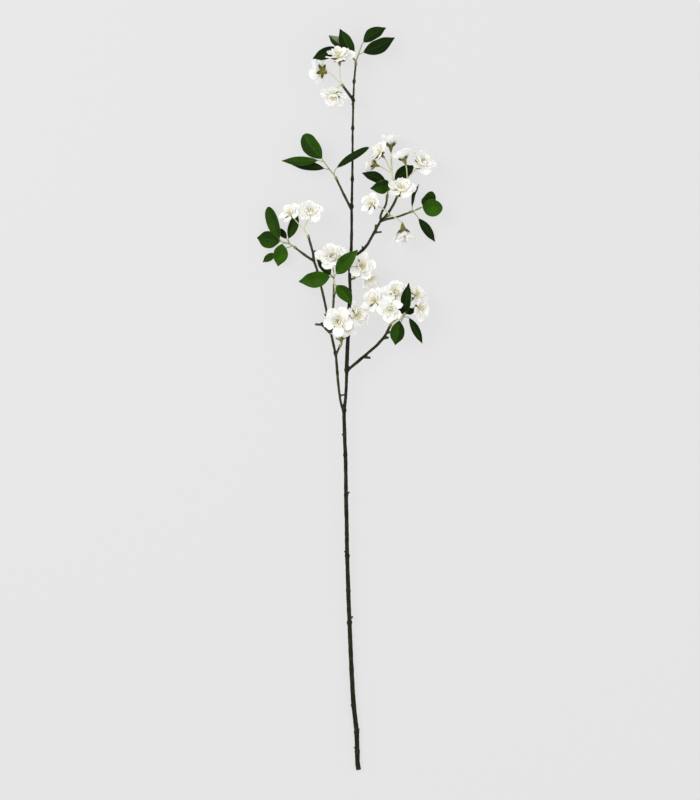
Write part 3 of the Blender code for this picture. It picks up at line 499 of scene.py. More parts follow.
class Signal:
    """A number, colour or direction on its way through a material's nodes."""

    def __init__(self, finish, socket):
        self.finish = finish
        self.socket = socket

    def maths(self, operation, *values):
        return self.finish.node("ShaderNodeMath", {"operation": operation}, dict(enumerate(values)))

    def __add__(self, other):
        return self.maths("ADD", self, other)

    def __radd__(self, other):
        return self.maths("ADD", other, self)

    def __sub__(self, other):
        return self.maths("SUBTRACT", self, other)

    def __rsub__(self, other):
        return self.maths("SUBTRACT", other, self)

    def __mul__(self, other):
        return self.maths("MULTIPLY", self, other)

    def __rmul__(self, other):
        return self.maths("MULTIPLY", other, self)

    def __pow__(self, other):
        return self.maths("POWER", self, other)

    def size(self):
        return self.maths("ABSOLUTE", self)

    def wrap(self):
        return self.maths("FRACT", self)

    def rise(self, low, high):
        """0 below low, 1 above high and soft between them."""
        return self.finish.node("ShaderNodeMapRange", {"interpolation_type": "SMOOTHSTEP"},
                                {"Value": self, "From Min": low, "From Max": high})


class Finish:
    """A material, built up from signals."""

    def __init__(self, name):
        self.material = bpy.data.materials.new(name)
        self.material.use_nodes = True
        self.tree = self.material.node_tree
        self.shader = self.tree.nodes["Principled BSDF"]

    def node(self, kind, settings=None, values=None, output=0):
        made = self.tree.nodes.new(kind)
        for name, value in (settings or {}).items():
            setattr(made, name, value)
        self.wire(made, values or {})
        return Signal(self, made.outputs[output])

    def wire(self, node, values):
        for socket, value in values.items():
            if isinstance(value, Signal):
                self.tree.links.new(value.socket, node.inputs[socket])
            else:
                node.inputs[socket].default_value = value

    def blend(self, factor, first, second):
        return self.node("ShaderNodeMix", {"data_type": "RGBA"}, {0: factor, 6: first, 7: second}, 2)

    def paint(self, colour, *layers):
        """Lays colours over a first one, each as strongly as its mask."""
        for mask, over in layers:
            colour = self.blend(mask, colour, over)
        return colour

    def stretch(self, vector, scale):
        return self.node("ShaderNodeVectorMath", {"operation": "MULTIPLY"}, {0: vector, 1: scale})

    def noise(self, vector, scale, detail=3.0, roughness=0.5):
        return self.node("ShaderNodeTexNoise", {}, {"Vector": vector, "Scale": scale, "Detail": detail,
                                                    "Roughness": roughness})

    def own_place(self):
        return self.node("ShaderNodeTexCoord", output="Object")

    def split(self, vector):
        separate = self.node("ShaderNodeSeparateXYZ", {}, {0: vector})
        return [Signal(self, socket) for socket in separate.socket.node.outputs]

    def uv(self):
        return self.split(self.node("ShaderNodeTexCoord", output="UV"))

    def attribute(self, name, output="Fac"):
        return self.node("ShaderNodeAttribute", {"attribute_name": name}, output=output)

    def bump(self, height, strength, distance):
        return self.node("ShaderNodeBump", {}, {"Strength": strength, "Distance": distance, "Height": height})

    def coat(self, **values):
        """Sets the shader's own sockets, by name with _ for a space."""
        self.wire(self.shader, {name.replace("_", " "): value for name, value in values.items()})

    def let_light_through(self, share, colour, normal):
        """Mixes in a share of light that comes through a thin blade from behind."""
        glow = self.node("ShaderNodeBsdfTranslucent", {}, {"Color": colour, "Normal": normal})
        own = Signal(self, self.shader.outputs[0])
        mixed = self.node("ShaderNodeMixShader", {}, {0: share, 1: own, 2: glow})
        output = self.tree.nodes["Material Output"]
        self.tree.links.new(mixed.socket, output.inputs["Surface"])


def grey(value):
    return (value, value, value, 1)


# Finishes

# The cut face, in metres of the row's frame: the y over which it gives way to bark, its middle across and
# up, the radii over which its rim turns to bark, and its growth rings to a metre
CUT_FACE = (-0.55795, -0.5572)
CUT_MIDDLE = (0.013, 0.0036)
CUT_RIM = (0.0028, 0.0032)
GROWTH_RINGS = 2200
PETAL_VEINS = 15
SIDE_VEINS = 10


def bark_finish():
    """Dark grey-brown bark with fine lengthwise cracks, pale lenticels across and olive young wood."""
    finish = Finish("bark")
    grain = finish.attribute("grain", "Vector")
    youth = finish.attribute("youth")
    lengthwise = finish.noise(finish.stretch(grain, (1.1, 1.1, 0.16)), 1.0, 5, 0.6)
    mottle = finish.noise(finish.stretch(grain, (0.3, 0.3, 0.09)), 1.0, 3)
    speck = finish.noise(grain, 2.6, 2)
    cell = finish.node("ShaderNodeTexVoronoi", {}, {"Vector": finish.stretch(grain, (0.36, 0.36, 0.85)),
                                                    "Scale": 1.0})
    chance = finish.split(Signal(finish, cell.socket.node.outputs["Color"]))[0]
    lenticel = (1 - cell.rise(0.14, 0.3)) * chance.rise(0.52, 0.56)
    x, y, z = finish.split(finish.own_place())
    off_x, off_z = x - CUT_MIDDLE[0], z - CUT_MIDDLE[1]
    radius = (off_x * off_x + off_z * off_z) ** 0.5
    rings = (radius * GROWTH_RINGS).wrap().rise(0.1, 0.5)
    face = finish.paint((0.42, 0.3, 0.17, 1), (rings * 0.4, (0.3, 0.2, 0.1, 1)),
                        (radius.rise(*CUT_RIM), (0.1, 0.075, 0.04, 1)))
    wood = finish.paint((0.0075, 0.0075, 0.004, 1),
                        (mottle.rise(0.35, 0.68), (0.025, 0.0245, 0.012, 1)),
                        (speck.rise(0.56, 0.75) * 0.35, (0.06, 0.056, 0.04, 1)),
                        (youth * mottle.rise(0.2, 0.55) * 0.8, (0.085, 0.088, 0.03, 1)),
                        ((1 - lengthwise.rise(0.3, 0.44)) * 0.7, (0.009, 0.007, 0.006, 1)),
                        (lenticel * 0.7, (0.13, 0.11, 0.08, 1)),
                        (1 - y.rise(*CUT_FACE), face))
    height = lengthwise * 0.5 + speck * 0.15 + lenticel * 0.5
    finish.coat(Base_Color=wood, Roughness=0.9 - lenticel * 0.15 - youth * 0.2, Specular_IOR_Level=0.15,
                Normal=finish.bump(height, 0.75, 0.0005))
    return finish


def petal_finish():
    """Soft white petal, warmer at its root, with fine veins that fan out and a crinkled skin, and a faint
    glow of its own white: painted light that lifts the shade between petals.
    """
    finish = Finish("petal_white")
    u, v, _ = finish.uv()
    spot = finish.own_place()
    fan = (u - 0.5) * (1.15 - v * 0.35) * PETAL_VEINS
    veins = (1 - (fan.wrap() - 0.5).size().rise(0.0, 0.2)) * (1 - v.rise(0.7, 0.98))
    crinkle = finish.noise(spot, 420, 4, 0.55)
    fold = finish.noise(spot, 150, 2)
    warm = finish.attribute("warmth") * (1 - v.rise(0.25, 0.95)) * fold.rise(0.2, 0.6)
    white = finish.paint((0.95, 0.948, 0.935, 1),
                         (fold.rise(0.3, 0.75) * 0.3, (0.9, 0.898, 0.88, 1)),
                         (warm * 0.5, (0.9, 0.88, 0.72, 1)),
                         ((1 - v.rise(0.05, 0.5)) * 0.7, (0.84, 0.83, 0.6, 1)),
                         (veins * 0.2, (0.78, 0.76, 0.68, 1)),
                         ((u - 0.5).size().rise(0.44, 0.5) * 0.1, (0.92, 0.87, 0.83, 1)))
    normal = finish.bump(crinkle * 0.5 + fold * 0.4 - veins * 0.3, 0.3, 0.0006)
    # The petals glow faintly in their own colour: painted light that lifts the shade between them.
    finish.coat(Base_Color=white, Roughness=0.62 + crinkle * 0.15, Specular_IOR_Level=0.25, Normal=normal,
                Sheen_Weight=0.15, Sheen_Roughness=0.4, Emission_Color=white, Emission_Strength=0.07)
    finish.let_light_through(0.15, (0.95, 0.94, 0.9, 1), normal)
    return finish


def leaf_finish(name, fresh_and_lit, old_and_shaded, rib, upper):
    """Leaf skin with a midrib and side veins: sunk and glossy above, raised and dull below."""
    finish = Finish(name)
    u, v, _ = finish.uv()
    spot = finish.own_place()
    tone_and_fold_shade = finish.attribute("tone_and_fold_shade")
    aside = (u - 0.5).size()
    midrib = 1 - aside.rise(0.012, 0.04)
    slant = (v - aside * 0.42 + finish.noise(spot, 90, 2) * 0.05) * SIDE_VEINS
    side_vein = 1 - (slant.wrap() - 0.5).size().rise(0.02, 0.1)
    side_vein = side_vein * (1 - aside.rise(0.36, 0.48)) * v.rise(0.02, 0.1)
    net = 1 - finish.node("ShaderNodeTexVoronoi", {"feature": "DISTANCE_TO_EDGE"},
                          {"Vector": spot, "Scale": 1100}).rise(0.0, 0.16)
    patch = finish.noise(spot, 60, 3)
    # The green runs from the old, dark colour to the fresh, light one by the tone. Where a leaf's two halves
    # differ, the darker half is painted shade of its fold and the lighter half its lit side.
    skin = finish.paint(old_and_shaded,
                        (tone_and_fold_shade.rise(0, 1), fresh_and_lit),
                        (tone_and_fold_shade.rise(1.1, 1.5), (0.2, 0.25, 0.15, 1)),
                        (patch.rise(0.35, 0.7) * 0.35, old_and_shaded),
                        (side_vein * (0.15 if upper else 0.45), rib),
                        (net * 0.1, rib),
                        (midrib * (0.3 if upper else 0.8), rib),
                        (aside.rise(0.47, 0.5) * 0.25, rib))
    relief = side_vein * 0.8 + midrib + net * 0.2
    normal = finish.bump(patch * 0.3 - relief if upper else relief, 0.5, 0.0005)
    rough = 0.4 + patch * 0.18 if upper else 0.68 + patch * 0.1
    finish.coat(Base_Color=skin, Roughness=rough, Specular_IOR_Level=0.05, Normal=normal)
    finish.let_light_through(0.05, (0.1, 0.25, 0.02, 1), normal)
    return finish


def stalk_finish(name, first, last, speck):
    """A green stalk or petiole, streaked lengthwise and freckled."""
    finish = Finish(name)
    spot = finish.own_place()
    streak = finish.noise(spot, 700, 3)
    freckle = finish.noise(spot, 1500, 2)
    skin = finish.paint(first,
                        (finish.noise(spot, 60, 2).rise(0.35, 0.65), last),
                        (streak.rise(0.5, 0.75) * 0.35, speck),
                        (freckle.rise(0.62, 0.72) * 0.4, speck))
    finish.coat(Base_Color=skin, Roughness=0.5 + streak * 0.2, Specular_IOR_Level=0.4,
                Normal=finish.bump(streak + freckle * 0.5, 0.3, 0.0003))
    return finish


def calyx_finish():
    """Olive floral cup and sepals, browner towards the sepals' points, with a soft down."""
    finish = Finish("calyx_olive")
    reach = finish.attribute("reach")
    spot = finish.own_place()
    down = finish.noise(spot, 1600, 3)
    patch = finish.noise(spot, 220, 3)
    skin = finish.paint((0.18, 0.165, 0.02, 1),
                        (reach.rise(0.1, 0.7), (0.065, 0.06, 0.003, 1)),
                        (patch.rise(0.4, 0.7) * 0.4, (0.08, 0.06, 0.008, 1)),
                        (reach.rise(0.82, 1.0) * 0.6, (0.07, 0.055, 0.01, 1)),
                        (down.rise(0.55, 0.75) * 0.15, (0.24, 0.23, 0.09, 1)),
                        (finish.attribute("disc"), (0.66, 0.56, 0.26, 1)))
    finish.coat(Base_Color=skin, Roughness=0.66 + down * 0.15, Specular_IOR_Level=0.3,
                Sheen_Weight=0.08, Sheen_Roughness=0.5, Normal=finish.bump(down + patch * 0.5, 0.4, 0.0003))
    return finish


def plain_grain_finish(name, first, last, scale, rough):
    """A small piece's skin: two colours in fine grains."""
    finish = Finish(name)
    grain = finish.noise(finish.own_place(), scale, 3)
    finish.coat(Base_Color=finish.paint(first, (grain.rise(0.35, 0.65), last)), Specular_IOR_Level=0.35,
                Roughness=rough + grain * 0.15, Normal=finish.bump(grain, 0.35, 0.0002))
    return finish


# Petals

PETAL_SKIN = 0.3
# Against the part's source, all petals are wider, and the outer ones longer and lower
WIDER = 1.06
LONGER = 1.05
OUTER_DROOP = math.radians(7)
EDGE_DRAWS = 4
# How many petals stand between the two rings, and how many small ones in the heart
FULLNESS = {"a1": (1, 0), "d1": (5, 5), "g1": (3, 2), "c1": (4, 2), "b4": (4, 2), "f2": (3, 1), "f3": (3, 1)}
PLAIN_FULLNESS = (2, 0)
# Their rise in degrees, and the range of their length, their half width in shares of it and their twist
BETWEEN_RISE, BETWEEN_SHAPE = 31, ((14.5, 16.5), 0.42, 18)
HEART_RISES, HEART_SHAPE = (58, 72), ((8.5, 11.5), 0.34, 25)
# Half width along a petal, and the height of its rib and its edge
OUTER_OUTLINE = ((0, 0.2), (0.11, 0.3), (0.22, 0.5), (0.33, 0.72), (0.45, 0.9), (0.56, 1.0), (0.67, 1.02),
                 (0.78, 0.96), (0.89, 0.78), (1.0, 0.46))
INNER_OUTLINE = ((0, 0.24), (0.11, 0.34), (0.22, 0.55), (0.33, 0.78), (0.45, 0.95), (0.56, 1.02),
                 (0.67, 0.98), (0.78, 0.86), (0.89, 0.66), (1.0, 0.38))
OUTER_RIB = ((0, 0), (0.45, 0.0), (0.8, 0.5), (1.0, 1.1))
OUTER_EDGE = ((0, 0), (0.26, 0.4), (0.6, 1.8), (0.9, 1.9), (1.0, 1.5))
INNER_RIB = ((0, 0), (0.45, -0.6), (0.8, 0.4), (1.0, 1.8))
INNER_EDGE = ((0, 0), (0.26, 0.8), (0.6, 2.6), (0.9, 3.2), (1.0, 3.0))
# The notch, skew, ruffle and phase of each model
OUTER_KINDS = ((0.1, 0.0, 0.5, 0.3), (0.05, 0.1, 0.8, 2.1), (0.08, -0.12, 0.65, 4.4))
INNER_KINDS = ((0.08, 0.06, 0.6, 1.2), (0.04, -0.1, 0.8, 3.3))
# The name, size and strength of the cloud textures that crinkle a corolla
FRILLS = (("petal_waves", 0.011, 0.006), ("petal_creases", 0.0045, 0.0014))


def shape_sheet(name, columns, rows, outline, lift, slide, skew=0.0):
    """A blade on the unit square, 2 wide at an outline of 1 and 1 long, shaped from a plain grid.

    lift gives the height and slide the move lengthwise of the grid's point at x, from -1 to 1, and y.
    """
    sheet = start_from(bpy.ops.mesh.primitive_grid_add, x_subdivisions=columns, y_subdivisions=rows,
                       size=1, location=(0, 0.5, 0))
    plain = plain_places(sheet)
    for row in range(rows + 1):
        y = row / rows
        for column in range(columns // 2 + 1):
            x = 1 - 2 * column / columns
            pick(sheet, lambda co, x=x, y=y: abs(abs(co.x) * 2 - x) < 0.01 and abs(co.y - y) < 0.01, plain)
            bpy.ops.transform.translate(value=(0, slide(x, y), lift(x, y)))
        pick(sheet, lambda co, y=y: abs(co.y - y) < 0.01, plain)
        bpy.ops.transform.resize(value=(2 * between(outline, y), 1, 1), center_override=(0, y, 0))
        bpy.ops.transform.translate(value=(skew * y * y, 0, 0))
    bpy.ops.mesh.select_all(action="SELECT")
    bpy.ops.mesh.remove_doubles(threshold=1e-5)
    done_editing()
    sheet.name = name
    return sheet


def weigh(piece, group, weight):
    """Gives each vertex its weight in a group, from its own place."""
    made = piece.vertex_groups.new(name=group)
    for vertex in piece.data.vertices:
        made.add([vertex.index], max(0.0, min(1.0, weight(vertex.co))), "REPLACE")


def mark(piece, name, values):
    """A number for each vertex that a material reads."""
    layer = piece.data.attributes.get(name) or piece.data.attributes.new(name, "FLOAT", "POINT")
    layer.data.foreach_set("value", values)


def cloud(name, size, depth=2):
    texture = bpy.data.textures.new(name, "CLOUDS")
    texture.noise_scale = size
    texture.noise_depth = depth
    return texture


def model_petal(name, outline, rib, edge, columns, rows, warmth, notch, skew, ruffle, phase):
    """A petal with a notched tip, cupped between its edges, which are ruffled."""
    def lift(x, y):
        waves = ruffle * math.sin(phase + 15 * y) * abs(x) ** 3 * min(1, y * 1.6)
        curl = ruffle * math.sin(phase * 2 + 7 * x) * max(0, y - 0.6) * 2
        return between(rib, y) + (between(edge, y) - between(rib, y)) * x * x + waves + curl

    def slide(x, y):
        tip = max(0.0, (y - 0.55) / 0.45)
        lobes = 0.05 * math.sin(math.pi * abs(x)) - 0.07 * x * x
        return (lobes - notch * max(0.0, 1 - abs(x) * 2.4)) * tip ** 2

    petal = shape_sheet(name, columns, rows, outline, lift, slide, skew)
    mark(petal, "warmth", [warmth] * len(petal.data.vertices))
    weigh(petal, "frill", lambda co: 0.12 + 0.9 * max(abs(co.x) * 0.75, co.y ** 2) * min(1, co.y * 2.5))
    return petal


def bloom_axes(bloom):
    """The way a bloom faces, and two directions at right angles to it."""
    facing = unit(bloom.facing)
    right = across(facing)
    return facing, right, facing.cross(right)


def stand_petal(model, bloom, angle, rise, length, half, twist):
    """A copy of a petal model that grows outwards from the heart of a bloom."""
    facing, right, ahead = bloom_axes(bloom)
    outwards = right * math.cos(angle) + ahead * math.sin(angle)
    sideways = facing.cross(outwards)
    along = outwards * math.cos(rise) + facing * math.sin(rise)
    lift = along.cross(sideways)
    side = sideways * math.cos(twist) + lift * math.sin(twist)
    root = Vector(bloom.heart) + outwards * min(PETAL_ROOT, length * 0.17)
    return copy_of(model, frame_matrix(-side * half * MM, along * length * MM, lift * bloom.size * MM,
                                       place(root)))


def extra_petals(name, bloom, turn, outer_petals, inner_petals):
    """The petals between the two rings of a bloom, and the ruffled ones in its heart."""
    noise = random.Random(f"heart {name}")
    petals = []

    def add(models, angle, rise, lengths, half_width, twist):
        length = noise.uniform(*lengths) * bloom.size
        petals.append(stand_petal(noise.choice(models), bloom, angle, math.radians(rise), length,
                                  length * half_width, math.radians(noise.uniform(-twist, twist))))

    between_rings, heart = FULLNESS.get(name, PLAIN_FULLNESS)
    for number in range(between_rings):
        angle = turn + PETAL_STEP * (2 * number + 1) + noise.uniform(-0.2, 0.2)
        add(outer_petals, angle, BETWEEN_RISE + bloom.closing + noise.uniform(-5, 5), *BETWEEN_SHAPE)
    for number in range(heart):
        angle = turn + 2 * math.pi * (number + noise.uniform(-0.25, 0.25)) / heart
        add(inner_petals, angle, noise.uniform(*HEART_RISES), *HEART_SHAPE)
    return petals


def make_corolla(name, bloom, outer_petals, inner_petals, frills, finish):
    """The petals of one bloom: the two rings of the part's source, a ring between and a ruffled heart."""
    noise = random.Random(sum(ord(letter) * (number + 7) for number, letter in enumerate(name)))
    turn = noise.uniform(0, PETAL_STEP * 2)
    petals = []
    for index in range(PETAL_SECTORS):
        if index in INNER_SECTORS[bloom.inner:]:
            continue
        inner = index in INNER_SECTORS
        lifted = bloom.closing + noise.uniform(-PETAL_TURN_NOISE, PETAL_TURN_NOISE)
        rise = (INNER_RISE if inner else OUTER_RISE - OUTER_DROOP) + math.radians(lifted)
        length = (INNER_PETAL if inner else OUTER_PETAL * LONGER) * bloom.size
        length *= noise.uniform(*PETAL_LENGTH_NOISE)
        twist = PETAL_TWIST + math.radians(noise.uniform(-PETAL_TURN_NOISE, PETAL_TURN_NOISE))
        # The part's source also draws the waves of the petal's edge, which these keep in step with.
        for _ in range(EDGE_DRAWS):
            noise.uniform(0, 1)
        half = length * (INNER_HALF_WIDTH if inner else OUTER_HALF_WIDTH) * WIDER
        models = inner_petals if inner else outer_petals
        model = models[(index // 2 + ord(name[-1])) % len(models)]
        petals.append(stand_petal(model, bloom, turn + PETAL_STEP * index, rise, length, half, twist))
    petals += extra_petals(name, bloom, turn, outer_petals, inner_petals)
    corolla = join(f"petals_{name}_bloom", petals)
    soften(corolla)
    for texture, strength in frills:
        roughen(corolla, texture, strength, "frill")
    thicken(corolla, PETAL_SKIN * MM)
    show(corolla, "petals", f"petals_{name}", finish, smooth=70)


# Floral cups, sepals and stamens, in millimetres with the heart of the bloom at the middle

CUP_PROFILE = ((-9.0, 0.85), (-7.8, 1.1), (-6.5, 1.45), (-5.2, 1.85), (-4.0, 2.25), (-3.0, 2.6),
               (-2.0, 2.85), (-0.95, 2.85), (-0.85, 2.25), (-1.0, 1.5), (-1.15, 0.6))
CUP_SIDES = 15
DISC_RADIUS, DISC_FOOT = 2.3, -1.3
SEPALS = 5
SEPAL_OUTLINE = ((0, 0.8), (0.2, 0.96), (0.4, 0.97), (0.6, 0.8), (0.8, 0.5), (1.0, 0.04))
SEPAL_SKIN = 0.42
SEPAL_SIZE = (2.3, 6.2, 1)
SEPAL_ROOT = (2.1, -2.0)
# The degrees by which the sepals of each model rise, and how much more than the petals they should
SEPAL_RISES = (6, 24, 38)
SEPAL_HUG = 8
CALYX_GROWTH = 1.32
SHARED_STALK = 1.2
PEDICEL_ENDS = (0.78, 0.95)
STAMENS = 20
STAMEN_DEPTH = 0.9
FILAMENT_LEANS = (0.4, 1.0, -0.5)
FILAMENT_LENGTHS = (6.2, 8.6)
FILAMENT_ENDS = (0.17, 0.11)
PISTIL_PROFILE = ((-0.2, 0.5), (0.6, 0.75), (1.5, 0.55), (2.2, 0.22), (7.2, 0.2), (7.4, 0.42), (7.8, 0.3))


def model_calyx(rise):
    """The floral cup with its five sepals, which lie under the petals and rise by some degrees."""
    cup = raise_profile(CUP_PROFILE, CUP_SIDES)
    mark(cup, "reach", [0.0] * len(cup.data.vertices))
    mark(cup, "disc", [1.0 if math.hypot(co.x, co.y) < DISC_RADIUS and co.z > DISC_FOOT else 0.0
                       for co in (vertex.co for vertex in cup.data.vertices)])
    sepal = shape_sheet("sepal_model", 4, 5, SEPAL_OUTLINE, lambda x, y: -0.5 * x * x + 0.6 * y * y,
                        lambda x, y: 0.0)
    mark(sepal, "reach", [vertex.co.y for vertex in sepal.data.vertices])
    soften(sepal)
    thicken(sepal, SEPAL_SKIN)
    sepals = ring_of(sepal, SEPALS, 0.5, (math.cos(rise), math.sin(rise)), SEPAL_SIZE, SEPAL_ROOT)
    put_away(sepal)
    return join("calyx_model", [cup] + sepals)


def model_filament(lean):
    """A thread 1 high whose tip leans aside."""
    path = [Vector(point) for point in ((0, 0, 0), (lean * 0.1, 0, 0.4), (lean * 0.7, 0, 0.75), (lean, 0, 1))]
    return draw_stalk(path, FILAMENT_ENDS, 5, 1)


def model_anther():
    anther = start_from(bpy.ops.mesh.primitive_ico_sphere_add, subdivisions=1, radius=0.6)
    bpy.ops.mesh.select_all(action="SELECT")
    bpy.ops.transform.resize(value=(1, 0.75, 1.35), center_override=(0, 0, 0))
    done_editing()
    return anther


def tip_of(twig_name):
    """Where a twig ends, and the way it points there."""
    points = MAIN_STEM.points if twig_name == MAIN_TIP else TWIGS[twig_name].points
    end = Vector(points[-1])
    return end, (end - Vector(points[-2])).normalized()


def stalk_path(twig_name, bloom):
    """The four ends and handles of a flower stalk, from its start to the base of the cup."""
    facing = unit(bloom.facing)
    cup_base = Vector(bloom.heart) - facing * CUP_LENGTH * bloom.size
    if bloom.start is None:
        end, along = tip_of(twig_name)
        start = end + along * (JOIN_GAP + COLLAR_LENGTH * 0.5)
    else:
        start = Vector(bloom.start)
        along = (cup_base - start).normalized()
    reach = (cup_base - start).length * STALK_EASE
    towards = (cup_base - start).normalized()
    return start, start + (along + towards).normalized() * reach, cup_base - facing * reach, cup_base


def make_calyces(name, spray, models, finish):
    cups = []
    for bloom in spray.blooms.values():
        model = min(models, key=lambda one: abs(models[one] - (bloom.closing + SEPAL_HUG)))
        facing = unit(bloom.facing)
        path = stalk_path(spray.twig, bloom)
        stations = interpolate_bezier(*path, 4) + [Vector(bloom.heart) - facing, Vector(bloom.heart)]
        side = path_frames(stations)[-1][1]
        size = bloom.size * CALYX_GROWTH * MM
        cups.append(copy_of(model, frame_matrix(side * size, facing.cross(side) * size, facing * size,
                                                place(bloom.heart))))
    show(join(f"calyces_{name}", cups), "flower_stalks", f"flower_stalks_{name}", finish)


def make_pedicels(name, spray, finish):
    rods = [draw_rod(points, [SHARED_STALK] * len(points)) for points in spray.stalks]
    for bloom in spray.blooms.values():
        path = [place(point) for point in stalk_path(spray.twig, bloom)]
        rods.append(draw_stalk(path, (PEDICEL_ENDS[0] * MM, PEDICEL_ENDS[1] * MM * bloom.size)))
    show(join(f"pedicels_{name}", rods), "flower_stalks", f"flower_stalks_{name}", finish)


def make_stamens(name, spray, filaments, anther, pistil, finishes):
    """A tuft of filaments, each with its anther, round the pistil of every bloom."""
    noise = random.Random(f"stamens {name}")
    threads, tips, hearts = [], [], []
    for bloom in spray.blooms.values():
        facing, right, ahead = bloom_axes(bloom)
        heart = Vector(bloom.heart) - facing * STAMEN_DEPTH
        for number in range(STAMENS):
            angle = 2 * math.pi * (number + noise.uniform(-0.3, 0.3)) / STAMENS
            ring = 0.5 + 0.9 * noise.random()
            outwards = right * math.cos(angle) + ahead * math.sin(angle)
            length = noise.uniform(*FILAMENT_LENGTHS) * bloom.size
            lean = 0.1 + 0.3 * ring + noise.uniform(-0.05, 0.1)
            axis = (facing + outwards * lean).normalized()
            sideways = axis.cross(outwards).normalized()
            inwards = sideways.cross(axis)
            root = heart + outwards * ring * bloom.size
            model, bend = noise.choice(filaments)
            threads.append(copy_of(model, frame_matrix(-inwards * MM, sideways * MM, axis * length * MM,
                                                       place(root))))
            nod = axis + outwards * noise.uniform(-0.5, 0.5)
            tips.append(stand(anther, root + axis * length - inwards * bend, nod, bloom.size, angle))
        hearts.append(stand(pistil, heart, facing, bloom.size))
    for kind, pieces, finish in zip(("filaments", "anthers", "pistils"), (threads, tips, hearts), finishes):
        show(join(f"{kind}_{name}", pieces), "flower_stalks", f"flower_stalks_{name}", finish)


# Leaves

LEAF_SKIN = 0.4
LEAF_COLUMNS = 6
LEAF_ROWS = 12
LEAF_FOLD = 0.28
LEAF_WIDER = 1.1
LEAF_TIP_LENGTH = 0.045
LEAF_RIPPLE = ("leaf_ripple", 0.014)
RIPPLE_STRENGTH = 0.0016
# The arch of each model in half widths, and the height and phase of the wave along its edge
LEAF_ARCHES = (0.2, 0.34, 0.5)
LEAF_WAVES = ((0.1, 0.6), (0.14, 2.4), (0.1, 4.0))
LEAF_OUTLINE = ((0, 0.06), (0.083, 0.44), (0.167, 0.72), (0.25, 0.9), (0.333, 1.0), (0.417, 1.03),
                (0.5, 1.02), (0.583, 0.97), (0.667, 0.87), (0.75, 0.7), (0.833, 0.47), (0.917, 0.21),
                (1.0, 0.0))
BLUNT_OUTLINE = ((0, 0.06), (0.083, 0.42), (0.167, 0.68), (0.25, 0.86), (0.333, 0.97), (0.417, 1.02),
                 (0.5, 1.04), (0.583, 1.03), (0.667, 0.99), (0.75, 0.9), (0.833, 0.75), (0.917, 0.5),
                 (1.0, 0.0))
BLUNT_LEAVES = {"mid_left": (0, 3), "back_right": (1, 2), "far_left": (0,)}
SHOOT_FOOT_RADII = (1.05, 1.0)
SHOOT_RADIUS = 0.9
PETIOLE_RADII = (0.75, 0.6, 0.55)
# Where along a blade its midrib has which radius
MIDRIB = ((0.2, 0.42), (0.4, 0.34), (0.6, 0.26), (0.8, 0.17), (0.95, 0.07))


def model_leaf(name, outline, bow, wave, phase):
    """A leaf blade, folded along its rib and arched; its height is in half widths."""
    def lift(x, y):
        ripple = wave * math.sin(phase + y * 11) * x * x * math.sin(math.pi * y)
        return LEAF_FOLD * abs(x) * between(outline, y) + bow * 4 * y * (1 - y) + ripple

    drip = LEAF_TIP_LENGTH if outline is LEAF_OUTLINE else 0.0
    leaf = shape_sheet(name, LEAF_COLUMNS, LEAF_ROWS, outline, lift, lambda x, y: drip if y > 0.99 else 0.0)
    weigh(leaf, "ripple", lambda co: abs(co.x) * 0.8 + 0.1)
    return leaf


def leaf_axes(leaf):
    base, tip = Vector(leaf.base), Vector(leaf.tip)
    along = (tip - base).normalized()
    upper = across(along, leaf.upper)
    return base, tip, along, upper


def leaf_arch(leaf):
    """Which of the models is arched most like this leaf, and how high its arch then is."""
    arch = min(LEAF_ARCHES, key=lambda one: abs(one - leaf.bow / leaf.half_width))
    return LEAF_ARCHES.index(arch), arch * leaf.half_width * LEAF_WIDER


def make_leaves(name, shoot, models, ripple, finishes):
    blades = []
    for number, (leaf, tone_and_fold_shade) in enumerate(zip(shoot.leaves, LEAF_TONES_AND_FOLD_SHADE[name])):
        base, tip, along, upper = leaf_axes(leaf)
        model = models[number in BLUNT_LEAVES.get(name, ())][leaf_arch(leaf)[0]]
        half = leaf.half_width * LEAF_WIDER
        blade = copy_of(model, frame_matrix(along.cross(upper) * half * MM, (tip - base) * MM,
                                            upper * half * MM, place(base)))
        # Each half of a leaf gets its own tone; a darker half is painted shade of the leaf's fold.
        left, right = tone_and_fold_shade if isinstance(tone_and_fold_shade, tuple) else (tone_and_fold_shade, tone_and_fold_shade)
        mark(blade, "tone_and_fold_shade", [left if vertex.co.x < 0 else right for vertex in model.data.vertices])
        blades.append(blade)
    leaves = join(f"leaf_blades_{name}", blades)
    soften(leaves)
    roughen(leaves, ripple, RIPPLE_STRENGTH, "ripple")
    for finish in finishes:
        leaves.data.materials.append(finish.material)
    thicken(leaves, LEAF_SKIN * MM, material_offset=1, material_offset_rim=1)
    show(leaves, "leaves", f"leaves_{name}")


def make_leaf_stalks(name, shoot, finish):
    """The green shoot with a petiole for each leaf, which runs on below the blade as its midrib."""
    end, along = tip_of(shoot.twig)
    start = end + along * JOIN_GAP
    rods = [draw_rod([start, start + along * COLLAR_LENGTH, *shoot.stalk],
                     [*SHOOT_FOOT_RADII] + [SHOOT_RADIUS] * len(shoot.stalk))]
    for leaf in shoot.leaves:
        base, tip, along, upper = leaf_axes(leaf)
        first = Vector(leaf.start)
        reach = (base - first).length
        bend = interpolate_bezier(first, first.lerp(base, PETIOLE_EASE) + upper * reach * PETIOLE_ARCH,
                                  base - along * reach * PETIOLE_EASE, base, 3)[1]
        line, radii = [first, bend, base], [*PETIOLE_RADII]
        arch = leaf_arch(leaf)[1]
        for share, radius in MIDRIB:
            bow = upper * arch * 4 * share * (1 - share)
            line.append(base.lerp(tip, share) + bow - upper * (LEAF_SKIN * 0.5 + radius * 0.6))
            radii.append(radius)
        rods.append(draw_rod(line, radii))
    show(join(f"leaf_stalks_{name}", rods), "leaves", f"leaves_{name}", finish)


# Buds, 1 long, and bud scales

